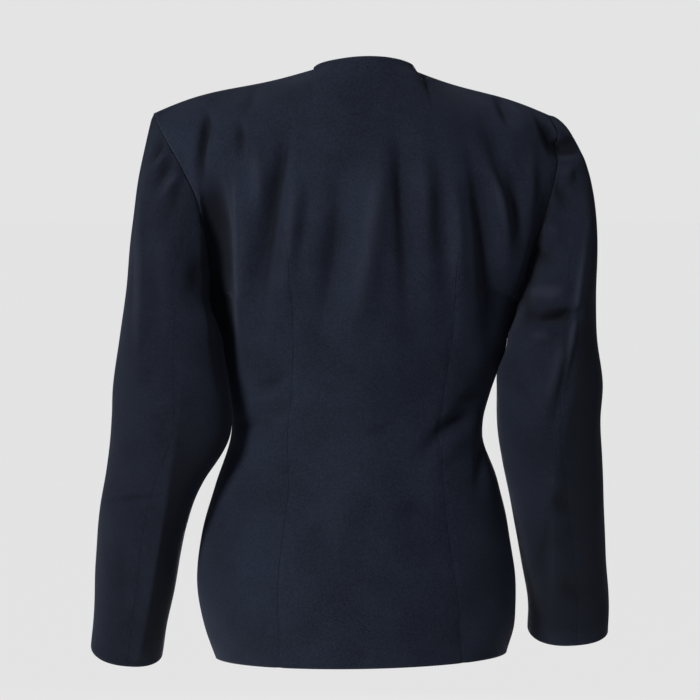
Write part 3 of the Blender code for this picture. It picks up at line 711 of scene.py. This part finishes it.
def twillGroup(look):
    # diagonal ribs crossed by threads, in the cloth's own metres, with a heathered tone
    group, desk, given, out = newGroup(
        "navy twill",
        (("Cloth", "Vector"), ("Place", "Vector"), ("Thread", "Float"), ("Deep", "Color"), ("Pale", "Color")),
        (("Colour", "Color"), ("Roughness", "Float"), ("Height", "Float")),
    )
    split = desk.add("ShaderNodeSeparateXYZ", {0: given["Cloth"]}).outputs
    u = desk.maths("DIVIDE", split["X"], given["Thread"])
    v = desk.maths("DIVIDE", split["Y"], given["Thread"])
    slant = desk.plus(u, desk.times(v, look["slant"]))
    ribs = desk.maths("SINE", desk.times(slant, 2 * math.pi))
    threads = desk.maths("SINE", desk.times(v, 4 * math.pi))
    weave = desk.plus(desk.times(ribs, look["ribs"]), desk.times(threads, look["threads"]))
    heather = desk.noise(given["Place"], look["heatherScale"], 3.0, look["heatherRoughness"])
    cloud = desk.noise(given["Place"], look["cloudScale"])
    grain = desk.noise(given["Place"], look["grainScale"], 1.0)
    yarn = desk.plus(desk.times(heather, look["heather"]), desk.times(grain, look["grain"]))
    tone = desk.plus(desk.between(yarn, *look["yarnStep"]), desk.times(weave, look["weaveTone"]))
    tone = desk.plus(desk.times(tone, look["yarnTone"]), desk.between(cloud, *look["cloudStep"]))
    desk.feed(out, {
        "Colour": desk.blend(tone, given["Deep"], given["Pale"]),
        "Roughness": desk.plus(look["roughness"], desk.times(heather, look["heatherRough"])),
        "Height": desk.plus(desk.times(weave, look["relief"]), desk.times(heather, look["fuzz"])),
    })
    return group


sewnLook = {
    "line": (0.2, 1.5, 1.0, 0.0), "lips": (1.0, 6.0, 1.0, 0.0), "near": (2.0, 15.0, 1.0, 0.0),
    "wear": (0.0, 3.0, 1.0, 0.0), "pick": (0.0, 2.0, 1.0, 0.0), "ply": (-2.0, 2.0, 0.14, 0.0),
    "lipHeight": 0.25, "groove": 0.75, "puckerScale": 105.0, "pucker": 1.5, "stitch": 0.007,
    "pickLevel": 1.4, "pickDepth": 0.05,
}


def sewnGroup(look):
    # a sewn line where 'seam' is 0, small puckers beside it, and a turned edge where 'edge' is small
    group, desk, given, out = newGroup(
        "sewn lines",
        (("Cloth", "Vector"), ("Seam", "Float"), ("Edge", "Float"), ("Turn up", "Float")),
        (("Line", "Float"), ("Wear", "Float"), ("Height", "Float")),
    )
    away = desk.maths("ABSOLUTE", given["Seam"])
    line, lips, near = (desk.between(away, *look[part]) for part in ("line", "lips", "near"))
    pucker = desk.minus(desk.noise(given["Cloth"], look["puckerScale"], 1.0), 0.5)
    groove = desk.minus(desk.times(lips, look["lipHeight"]), desk.times(line, look["groove"]))
    height = desk.plus(groove, desk.times(desk.times(pucker, near), look["pucker"]))
    across = desk.add("ShaderNodeSeparateXYZ", {0: given["Cloth"]}).outputs["X"]
    ticks = desk.maths("SINE", desk.times(across, 2 * math.pi / look["stitch"]))
    fromTurn = desk.minus(given["Edge"], given["Turn up"])
    pickLine = desk.between(desk.maths("ABSOLUTE", fromTurn), *look["pick"])
    pick = desk.times(pickLine, desk.plus(look["pickLevel"], ticks))
    ply = desk.between(fromTurn, *look["ply"])
    desk.feed(out, {
        "Line": line,
        "Wear": desk.between(given["Edge"], *look["wear"]),
        "Height": desk.plus(height, desk.minus(ply, desk.times(pick, look["pickDepth"]))),
    })
    return group


def clothMaterial(name, turnUp, groups, look):
    # the twill and the sewn lines together: sewn lines darken the colour and worn edges lighten it a little;
    # painted shade darkens the troughs of folds and a painted highlight lightens their ridges
    material, desk, shader = newMaterial(name)
    place = desk.add("ShaderNodeTexCoord").outputs["Object"]
    uv = desk.add("ShaderNodeUVMap", uv_map="cloth").outputs["UV"]
    seam, edge, fold = (
        desk.add("ShaderNodeAttribute", attribute_name=mark).outputs["Fac"] for mark in ("seam", "edge", "fold")
    )
    threads = {"Cloth": uv, "Place": place, "Thread": look["thread"], "Deep": look["deep"], "Pale": look["pale"]}
    twill = desk.add("ShaderNodeGroup", threads, node_tree=groups["twill"]).outputs
    edges = {"Cloth": uv, "Seam": seam, "Edge": edge, "Turn up": turnUp}
    sewn = desk.add("ShaderNodeGroup", edges, node_tree=groups["sewn"]).outputs
    colour = desk.blend(desk.times(sewn["Line"], look["lineShade"]), twill["Colour"], look["line"])
    colour = desk.blend(desk.times(sewn["Wear"], look["wearShade"]), colour, look["wear"])
    # painted shade in fold troughs, then a painted highlight on fold ridges, both read from the 'fold' mark
    for tone in ("crease", "ridge"):
        colour = desk.blend(desk.between(fold, *look[tone + "Step"]), colour, look[tone])
    height = desk.plus(twill["Height"], sewn["Height"])
    bump = desk.add("ShaderNodeBump", {"Height": height, "Strength": 1.0, "Distance": mm}).outputs["Normal"]
    desk.feed(shader.inputs, {
        "Base Color": colour, "Roughness": twill["Roughness"], "Normal": bump,
        "Sheen Weight": look["sheenWeight"], "Sheen Roughness": look["sheenRoughness"],
        "Sheen Tint": look["sheenTint"], "Specular IOR Level": look["specular"],
    })
    return material


def buttonMaterial(look):
    # polished dark horn-like plastic with slow swirls and fine scratches in its gloss
    material, desk, shader = newMaterial("button plastic")
    place = desk.add("ShaderNodeTexCoord").outputs["Object"]
    swirl = desk.between(desk.noise(place, look["swirlScale"], 3.0), *look["swirlStep"])
    scratch = desk.noise(place, look["scratchScale"])
    lines = {"Height": scratch, "Strength": look["scratchStrength"], "Distance": look["scratchDepth"]}
    bump = desk.add("ShaderNodeBump", lines)
    desk.feed(shader.inputs, {
        "Base Color": desk.blend(swirl, look["dark"], look["swirl"]),
        "Roughness": desk.between(scratch, *look["scratchStep"]), "Normal": bump.outputs["Normal"],
        "Specular IOR Level": look["specular"], "Coat Weight": look["coat"],
    })
    return material


groups = {"twill": twillGroup(weaveLook), "sewn": sewnGroup(sewnLook)}
bodyCloth = clothMaterial("navy cloth", turnUps["hem"], groups, clothLook)
shadedSleeveCloth = clothMaterial("navy cloth with painted sleeve shade", turnUps["cuff"], groups, shadedArmLook)
plastic = buttonMaterial(buttonLook)
print("materials made")


# Hollows that the back and a sleeve share, so that their seam goes in with them, with painted shade in them; columns as
# for folds.
sharedHollows = table(foldColumns, (
    ("left armhole valley", 171, -100, 148, -372, 0, 12, 15, 1, 25.0, 0.5),
    ("right pad edge", -188, -38, -211, -102, 2, 7, 10, 1, 13.0, 0.65),
    ("right head hollow", -194, -96, -252, -88, 0, 9, 10, 1, 16.0, 0.4),
    ("right armhole valley", -200, -128, -164, -300, 0, 6, 9, 1.3, 11.0, 0.6),
))
underarmDrops = table("side way height wide depth", (
    ("left armpit", 1, 1, -278, 19, 7.4),
    ("right armpit", -1, 1, -280, 24, 9.5),
    ("right side", -1, 1, -322, 15, -3.0),
    ("right upper arm", -1, 1, -330, 20, 7.0),
    ("right armpit front", -1, -1, -296, 34, 8.0),
))


hang = {"out": 0.85, "back": 0.53, "startBack": 8.0, "startFront": 2.0, "over": 22.0, "heldRows": 5.0, "sinkOver": 46.0}


def sinkTogether(net):
    # points at the back move forward by the flat-bottomed hollows, whichever panel they belong to, and the painted
    # shade of the hollows is returned beside the net
    relief, shade = foldRelief(net, sharedHollows, 4)
    atBack = ease(net[..., 1] / hang["sinkOver"])
    sunk = net.copy()
    sunk[..., 1] -= relief * atBack
    return sunk, -shade * atBack


def underarmDrop(net, normal, side):
    # a sleeve's spare cloth hangs towards the body below the armpit: a bell in height on its inner back
    # (way 1) or inner front (way -1), eased away where the body is at its widest
    moved = net.copy()
    for onSide, way, height, wide, depth in zip(*underarmDrops.values()):
        if onSide != side:
            continue
        inwards = np.clip(normal @ np.array([-hang["out"] * side, hang["back"] * way, 0.0]), 0.0, 1.0) ** 2
        if depth > 0:
            start = hang["startBack" if way > 0 else "startFront"]
            inwards = inwards * ease((net[..., 1] * way - start) / hang["over"])
        moved[..., 0] -= side * depth * bell(net[..., 2] - height, wide) * inwards
    return moved


# the nets of all panels
back = bodyNet(False)[:, ::-1]
front = bodyNet(True)
armpit = int(body["steps"][: cut["armpitLevel"]].sum()) * cut["rowParts"]
arms, sunkPaintedShade = {}, {}
for side, rising, falling, sizes, head in (
    (1, front[armpit:, -1], back[armpit:-1, 0], leftArm, cut["leftHead"]),
    (-1, back[armpit:, -1], front[armpit:-1, 0], rightArm, cut["rightHead"]),
):
    arm = sleeveNet(sizes, np.concatenate([rising, falling[:0:-1]]), side, head)
    stay = ease(np.arange(len(arm) - 1, -1, -1) / hang["heldRows"])[:, None, None]
    arm = arm + (underarmDrop(arm, unit(gridNormals(arm, True)), side) - arm) * stay
    arms[sideName(side)], sunkPaintedShade[sideName(side)] = sinkTogether(arm)
back, sunkPaintedShade["back"] = sinkTogether(back)
front, sunkPaintedShade["front"] = sinkTogether(front)
normals = outwardNormals({"back": back, "front": front}, arms)
print("cloth nets made: back", back.shape[:2], "front", front.shape[:2], "sleeve", arms["left"].shape[:2])


def seamNotch(distance, depth, width):
    # minus depth times a bell: the cloth sinks a little where it is sewn
    return -depth * bell(distance, width)


sideTurn = {"past": 0.05, "over": 0.45}


def facing(normal, way):
    # 1 where the cloth faces the back (way 1) or the front (way -1), easing to 0 at the side
    return ease((normal[..., 1] * way + sideTurn["past"]) / sideTurn["over"])


bodySewing = {
    "notch": 0.9, "notchWidth": 5.0, "seamFade": 8.0, "waves": 0.55, "dartDepth": 0.8, "dartWidth": 4.0,
    "faintLine": 0.7, "hemFade": 30.0, "dartFrom": 0.02,
}
sleeveSewing = {
    "notch": 1.1, "notchWidth": 5.0, "seamFade": 5.0, "waves": 0.55, "lineNotch": 0.4, "lineWidth": 3.5,
    "faintLine": 0.8, "cuffFade": 25.0, "waveRing": 0.05,
}


def bodyPanel(net, normal, folds, way, darts, sewing):
    # relief of a back or front net, its painted shade and highlight in folds, and its distances from seams and open
    # edges
    across, up = lengths(net, False)
    fromTop = up[-1:] - up
    parts = cut["columnParts"]
    shoulder = np.zeros(net.shape[:2], bool)
    shoulder[:, : cut["shoulderSteps"] * parts + 1] = True
    shoulder[:, -cut["shoulderSteps"] * parts - 1:] = True
    seam = np.minimum(np.minimum(across, across[:, -1:] - across), np.where(shoulder, fromTop, far))
    relief = seamNotch(seam, sewing["notch"], sewing["notchWidth"])
    middle = net.shape[1] // 2
    u = (across - across[:, middle:middle + 1]) * mm
    v = up * mm
    still = ease(seam / sewing["seamFade"]) * ease(up / sewing["hemFade"])
    shape, shade = foldRelief(net, folds)
    there = facing(normal, way)
    relief = relief + (shape * there + slowWaves(u, v, waveLook["seeds"]["body"] + way, sewing["waves"])) * still
    for column, top, release in darts:
        fromDart = np.abs(across - across[:, column:column + 1])
        strength = ease((top - net[:, column:column + 1, 2]) / release)
        relief = relief + seamNotch(fromDart, sewing["dartDepth"], sewing["dartWidth"]) * strength
        seam = np.minimum(seam, np.where(strength > sewing["dartFrom"], fromDart + sewing["faintLine"], far))
    openEdge = np.minimum(up, np.where(shoulder, far, fromTop))
    return relief, shade * there * still, seam, openEdge, np.stack([u, v], -1)


def openRims(net, bottom, top, sides=(False, False)):
    # how far the middle of each rim stands out: half the wall at open edges, nothing at seams
    away = np.zeros_like(net)
    half = cut["wall"] / 2
    if bottom:
        away[0] = unit(net[0] - net[1]) * half
    if top is not None:
        away[-1, top] = unit(net[-1, top] - net[-2, top]) * half
    for wanted, edge, near in ((sides[0], 0, 1), (sides[1], -1, -2)):
        if wanted:
            away[:, edge] = unit(net[:, edge] - net[:, near]) * half
    return away


def declareCloth(piece, nodes):
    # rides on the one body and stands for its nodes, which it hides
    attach(piece, "root")
    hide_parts(*nodes)


def dartsOf(net, column, ends):
    # the two darts' columns, as far to each side of the middle, with the height and softness of their ends
    middle, shift = net.shape[1] // 2, column * cut["columnParts"]
    return [(middle + way * shift, *end) for way, end in zip((-1, 1), ends)]


def makeBack():
    # one panel from side to side, with the neck left open between the shoulder seams
    normal = normals["back"]
    darts = dartsOf(back, cut["dartColumn"], cut["backDarts"])
    relief, shade, seam, edge, uv = bodyPanel(back, normal, backFolds, 1, darts, bodySewing)
    outer = back + normal * relief[..., None]
    shoulderEnd = cut["shoulderSteps"] * cut["columnParts"]
    away = openRims(outer, True, slice(shoulderEnd, -shoulderEnd))
    # the fold mark carries the painted shade and highlight of the folds and the painted shade of the hollows
    marks = {"seam": seam, "edge": edge, "fold": shade + sunkPaintedShade["back"]}
    piece = shellMesh("backPanel", outer, -normal * cut["wall"], away, uv, marks, bodyCloth, False)
    declareCloth(piece, ["back"])


lap = {"calmFrom": 22.0, "calmOver": 30.0, "seamKept": 12.0}


def makeFronts():
    # the right front laps over the left one, which is tucked one wall further in beside the middle
    parts = cut["columnParts"]
    middle = front.shape[1] // 2
    normal = normals["front"]
    darts = dartsOf(front, cut["frontDartColumn"], cut["frontDarts"])
    relief, shade, seam, edge, uv = bodyPanel(front, normal, frontFolds, -1, darts, bodySewing)
    across, _ = lengths(front, False)
    fromMiddle = np.abs(across - across[:, middle:middle + 1])
    calm = ease((fromMiddle - lap["calmFrom"]) / lap["calmOver"])
    # the painted fold shade and highlight calm near the lap's middle, and the hollows' painted shade is added
    relief, shade = relief * np.maximum(calm, seam < lap["seamKept"]), shade * calm + sunkPaintedShade["front"]
    outer = front + normal * relief[..., None]
    inward = -normal * cut["wall"]
    neckEnd = cut["shoulderSteps"] * parts
    tuck = np.ones(front.shape[1])
    tuck[middle + parts:] = np.interp(
        np.arange(front.shape[1] - middle - parts), [0, parts, 2 * parts], [1.0, cut["lapEase"], 0.0]
    )
    leftOuter = outer - normal * ((cut["wall"] + cut["lapClearance"]) * tuck)[:, None]
    for name, node, surface, cols, neck, sides in (
        ("frontRight", "front_right", outer, slice(0, middle + parts + 1), slice(neckEnd, None), (False, True)),
        ("frontLeft", "front_left", leftOuter, slice(middle - parts, None), slice(0, -neckEnd), (True, False)),
    ):
        net = surface[:, cols]
        away = openRims(net, True, neck, sides)
        gap = np.abs(across[:, cols] - across[:, cols][:, -1 if sides[1] else 0, None])
        openEdge = np.minimum(edge[:, cols], gap)
        marks = {"seam": seam[:, cols], "edge": openEdge, "fold": shade[:, cols]}
        piece = shellMesh(name, net, inward[:, cols], away, uv[:, cols], marks, bodyCloth, False)
        declareCloth(piece, [node])


# each line's 'shade' is how strong the painted shade is on its turned side
turnedEdges = {
    "left": {
        "line": (198, -310, 250, -652), "depth": 5.5, "wide": 12.0, "shade": 1.0, "soft": 4.0, "rise": 0.5,
    },
    "right": {
        "line": (-249, -108, -196, -452), "depth": 2.0, "wide": 8.0, "shade": 0.75, "soft": 7.0, "rise": 0.3,
    },
}


def turnedEdge(net, values):
    # the sleeve turns away from the light along a line, to the right of it as seen from behind: a tent
    # across the line, its strength rising from the line's top, and an even painted shade on the turned side
    part, away = besideLine(net, *values["line"])
    along = ease(part / values["rise"])
    relief = values["depth"] * np.exp(-np.abs(away) / values["wide"]) * along
    return relief, -values["shade"] * ease(-away / values["soft"]) * along


def makeSleeve(side, foldsBack, foldsFront, sewing):
    # a tube; its two sewn lines run where the under sleeve meets the top sleeve
    name = sideName(side)
    net, normal = arms[name], normals[name]
    across, up = lengths(net, True)
    girth = across[:, -1:]
    parts = cut["rowParts"]
    lines = (cut["underFront"], -cut["underBack"]) if side > 0 else (cut["underBack"], -cut["underFront"])
    fromLines = np.full(across.shape, far)
    for line in lines:
        column = line * parts % net.shape[1]
        gap = np.abs(across - across[:, column:column + 1])
        fromLines = np.minimum(fromLines, np.minimum(gap, girth - gap))
    fromTop = up[-1:] - up
    seamWide = np.minimum(fromTop, fromLines + sewing["faintLine"])
    u = (across - across.mean(axis=1, keepdims=True)) * mm
    v = up * mm
    fromTop, fromLines, low = fromTop[:, :-1], fromLines[:, :-1], up[:, :-1]
    relief = seamNotch(fromTop, sewing["notch"], sewing["notchWidth"])
    still = ease(fromTop / sewing["seamFade"]) * ease(low / sewing["cuffFade"])
    atBack, backPaintedShading = foldRelief(net, foldsBack)
    atFront, frontPaintedShading = foldRelief(net, foldsFront)
    turn, turnPaintedShade = turnedEdge(net, turnedEdges[name])
    toBack, toFront = facing(normal, 1), facing(normal, -1)
    shape = (atBack + turn) * toBack + atFront * toFront
    # painted shade and highlight of the folds, painted shade on the turned side and in the hollows
    shade = ((backPaintedShading + turnPaintedShade) * toBack + frontPaintedShading * toFront) * still + sunkPaintedShade[name]
    ring = 2 * math.pi * np.arange(net.shape[1]) / net.shape[1]
    around = np.sin(ring)[None] * sewing["waveRing"] + v[:, :-1] * 0
    along = v[:, :-1] + np.cos(ring)[None] * sewing["waveRing"]
    waves = slowWaves(around, along, waveLook["seeds"]["arm"] + side, sewing["waves"])
    relief = relief + (shape + waves) * still + seamNotch(fromLines, sewing["lineNotch"], sewing["lineWidth"]) * still
    outer = net + normal * relief[..., None]
    away = openRims(outer, True, None)
    marks = {"seam": seamWide[:, :-1], "edge": low, "fold": shade}
    uv = np.stack([u, v], -1)
    piece = shellMesh(
        "sleeve" + name.capitalize(), outer, -normal * cut["wall"], away, uv, marks, shadedSleeveCloth, True
    )
    declareCloth(piece, ["top_sleeve_" + name, "under_sleeve_" + name])


buttonSizes = {
    "radius": 10.0, "dome": 4.5, "edge": 0.9, "lift": 1.6, "shankRadius": 3.5, "shankGap": 0.3, "sides": 64,
    "groove": 0.35, "grooveAt": 0.78, "grooveWidth": 0.6, "sharp": 50.0,
    "rimSteps": 6, "domeSteps": 34,
    "heights": (-128.0, -205.0, -282.0, -359.0, -436.0),
}


def buttonProfile(sizes):
    # from the shank's foot out to the rim and over a dome with a shallow turned groove near its edge
    radius, edge, rise = sizes["radius"], sizes["edge"], sizes["lift"] + sizes["edge"]
    corner = np.linspace(-math.pi / 2, 0.0, sizes["rimSteps"])
    foot = [(0.0, sizes["shankGap"]), (sizes["shankRadius"], sizes["shankGap"]), (sizes["shankRadius"], sizes["lift"])]
    rim = np.stack([radius - edge + edge * np.cos(corner), rise + edge * np.sin(corner)], 1)
    angle = np.linspace(0.0, math.pi / 2, sizes["domeSteps"])[1:]
    reach = radius * np.cos(angle)
    height = rise + (sizes["dome"] - edge) * np.sin(angle)
    height = height - sizes["groove"] * bell(reach - sizes["grooveAt"] * radius, sizes["grooveWidth"])
    return np.concatenate([foot, rim, np.stack([reach, height], 1)])


def makeButtons(sizes):
    # each profile is carried round the line that leaves the cloth square to it
    middle = front.shape[1] // 2
    line = front[:, middle]
    outward = normals["front"][:, middle]
    profile = buttonProfile(sizes)
    turn = (2 * math.pi * np.arange(sizes["sides"]) / sizes["sides"])[None, :, None]
    reach, rise = profile[1:-1, 0, None, None], profile[1:-1, 1, None, None]
    for number, height in enumerate(sizes["heights"], start=1):
        place = np.array([np.interp(height, line[:, 2], line[:, k]) for k in range(3)])
        out = unit(np.array([np.interp(height, line[:, 2], outward[:, k]) for k in range(3)]))
        first = unit(np.cross([0.0, 0.0, 1.0], out))
        second = np.cross(out, first)
        rings = place + reach * (np.cos(turn) * first + np.sin(turn) * second) + rise * out
        rows, cols = rings.shape[:2]
        index = np.arange(rows * cols).reshape(rows, cols)
        after = np.roll(index, -1, axis=1)
        quads = np.stack([index[:-1], after[:-1], after[1:], index[1:]], -1).reshape(-1, 4)
        ends = [rows * cols, rows * cols + 1]
        caps = [(ends[0], b, a) for a, b in zip(index[0], after[0])]
        caps += [(ends[1], a, b) for a, b in zip(index[-1], after[-1])]
        points = np.concatenate([rings.reshape(-1, 3), [place + out * profile[0, 1], place + out * profile[-1, 1]]])
        mesh = bpy.data.meshes.new("button")
        faces = [tuple(map(int, face)) for face in quads] + [tuple(map(int, face)) for face in caps]
        mesh.from_pydata((points * mm).tolist(), [], faces)
        mesh.update()
        mesh.shade_smooth()
        mesh.set_sharp_from_angle(angle=math.radians(sizes["sharp"]))
        mesh.materials.append(plastic)
        piece = addObject(f"button{number}", mesh)
        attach(piece, "root")
        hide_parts(f"button_{number}")


makeBack()
print("back made")
makeFronts()
print("fronts made")
makeSleeve(1, leftArmBack, leftArmFront, sleeveSewing)
makeSleeve(-1, rightArmBack, rightArmFront, sleeveSewing)
print("sleeves made")
makeButtons(buttonSizes)
print("buttons made")


# floor and light
studio = {
    "floorZ": -1.42, "floorHalf": 60.0, "floorColour": (0.80, 0.80, 0.80, 1.0), "floorTone": (0.78, 0.78, 0.785, 1.0),
    "floorGlow": 0.96, "glow": 1.03, "backdrop": (0.775, 0.775, 0.775, 1.0), "ambient": (0.12, 0.12, 0.14, 1.0),
    "floorRoughness": 0.95, "floorScale": 3.0, "lampTarget": (0.0, 0.0, -0.33),
}
lamps = (
    ("key light", (2.0, 2.3, 0.8), 0.8, 120.0),
    ("top light", (0.3, 1.6, 1.9), 1.0, 5.0),
    ("front light", (-0.6, -3.0, -0.1), 1.6, 105.0),
)


def makeFloor(values):
    # one wide square that the camera sees as the pale backdrop and the light meets as a matt floor
    half = values["floorHalf"]
    mesh = bpy.data.meshes.new("floor")
    corners = [(-half, -half), (half, -half), (half, half), (-half, half)]
    mesh.from_pydata([(x, y, values["floorZ"]) for x, y in corners], [], [(0, 1, 2, 3)])
    material, desk, shader = newMaterial("pale floor")
    place = desk.add("ShaderNodeTexCoord").outputs["Object"]
    tone = desk.blend(desk.noise(place, values["floorScale"]), values["floorColour"], values["floorTone"])
    desk.feed(shader.inputs, {"Base Color": tone, "Roughness": values["floorRoughness"]})
    glow = desk.add("ShaderNodeEmission", {"Color": values["backdrop"], "Strength": values["glow"]}).outputs[0]
    seen = desk.add("ShaderNodeLightPath").outputs["Is Camera Ray"]
    part = desk.times(seen, values["floorGlow"])
    mixed = desk.add("ShaderNodeMixShader", {0: part, 1: shader.outputs[0], 2: glow}).outputs[0]
    desk.feed(material.node_tree.nodes["Material Output"].inputs, {"Surface": mixed})
    mesh.materials.append(material)
    floor = addObject("floor", mesh)


def makeLamps(rows, target):
    # round area lamps, each turned towards the target
    for name, place, size, power in rows:
        light = bpy.data.lights.new(name, "AREA")
        light.shape = "DISK"
        light.size = size
        light.energy = power
        lamp = addObject(name, light)
        lamp.location = place
        lamp.rotation_euler = (Vector(target) - Vector(place)).to_track_quat("-Z", "Y").to_euler()


def makeSky(values):
    # the camera sees the pale backdrop, and the cloth gets a dimmer light from all round
    world = bpy.data.worlds.new("pale studio")
    world.use_nodes = True
    desk = NodeDesk(world.node_tree)
    seen = desk.add("ShaderNodeLightPath").outputs["Is Camera Ray"]
    colour = desk.blend(seen, values["ambient"], values["backdrop"])
    desk.feed(world.node_tree.nodes["Background"].inputs, {"Color": colour})
    bpy.context.scene.world = world


makeFloor(studio)
makeLamps(lamps, studio["lampTarget"])
makeSky(studio)
bpy.context.scene.view_settings.view_transform = "Standard"
print("studio made")
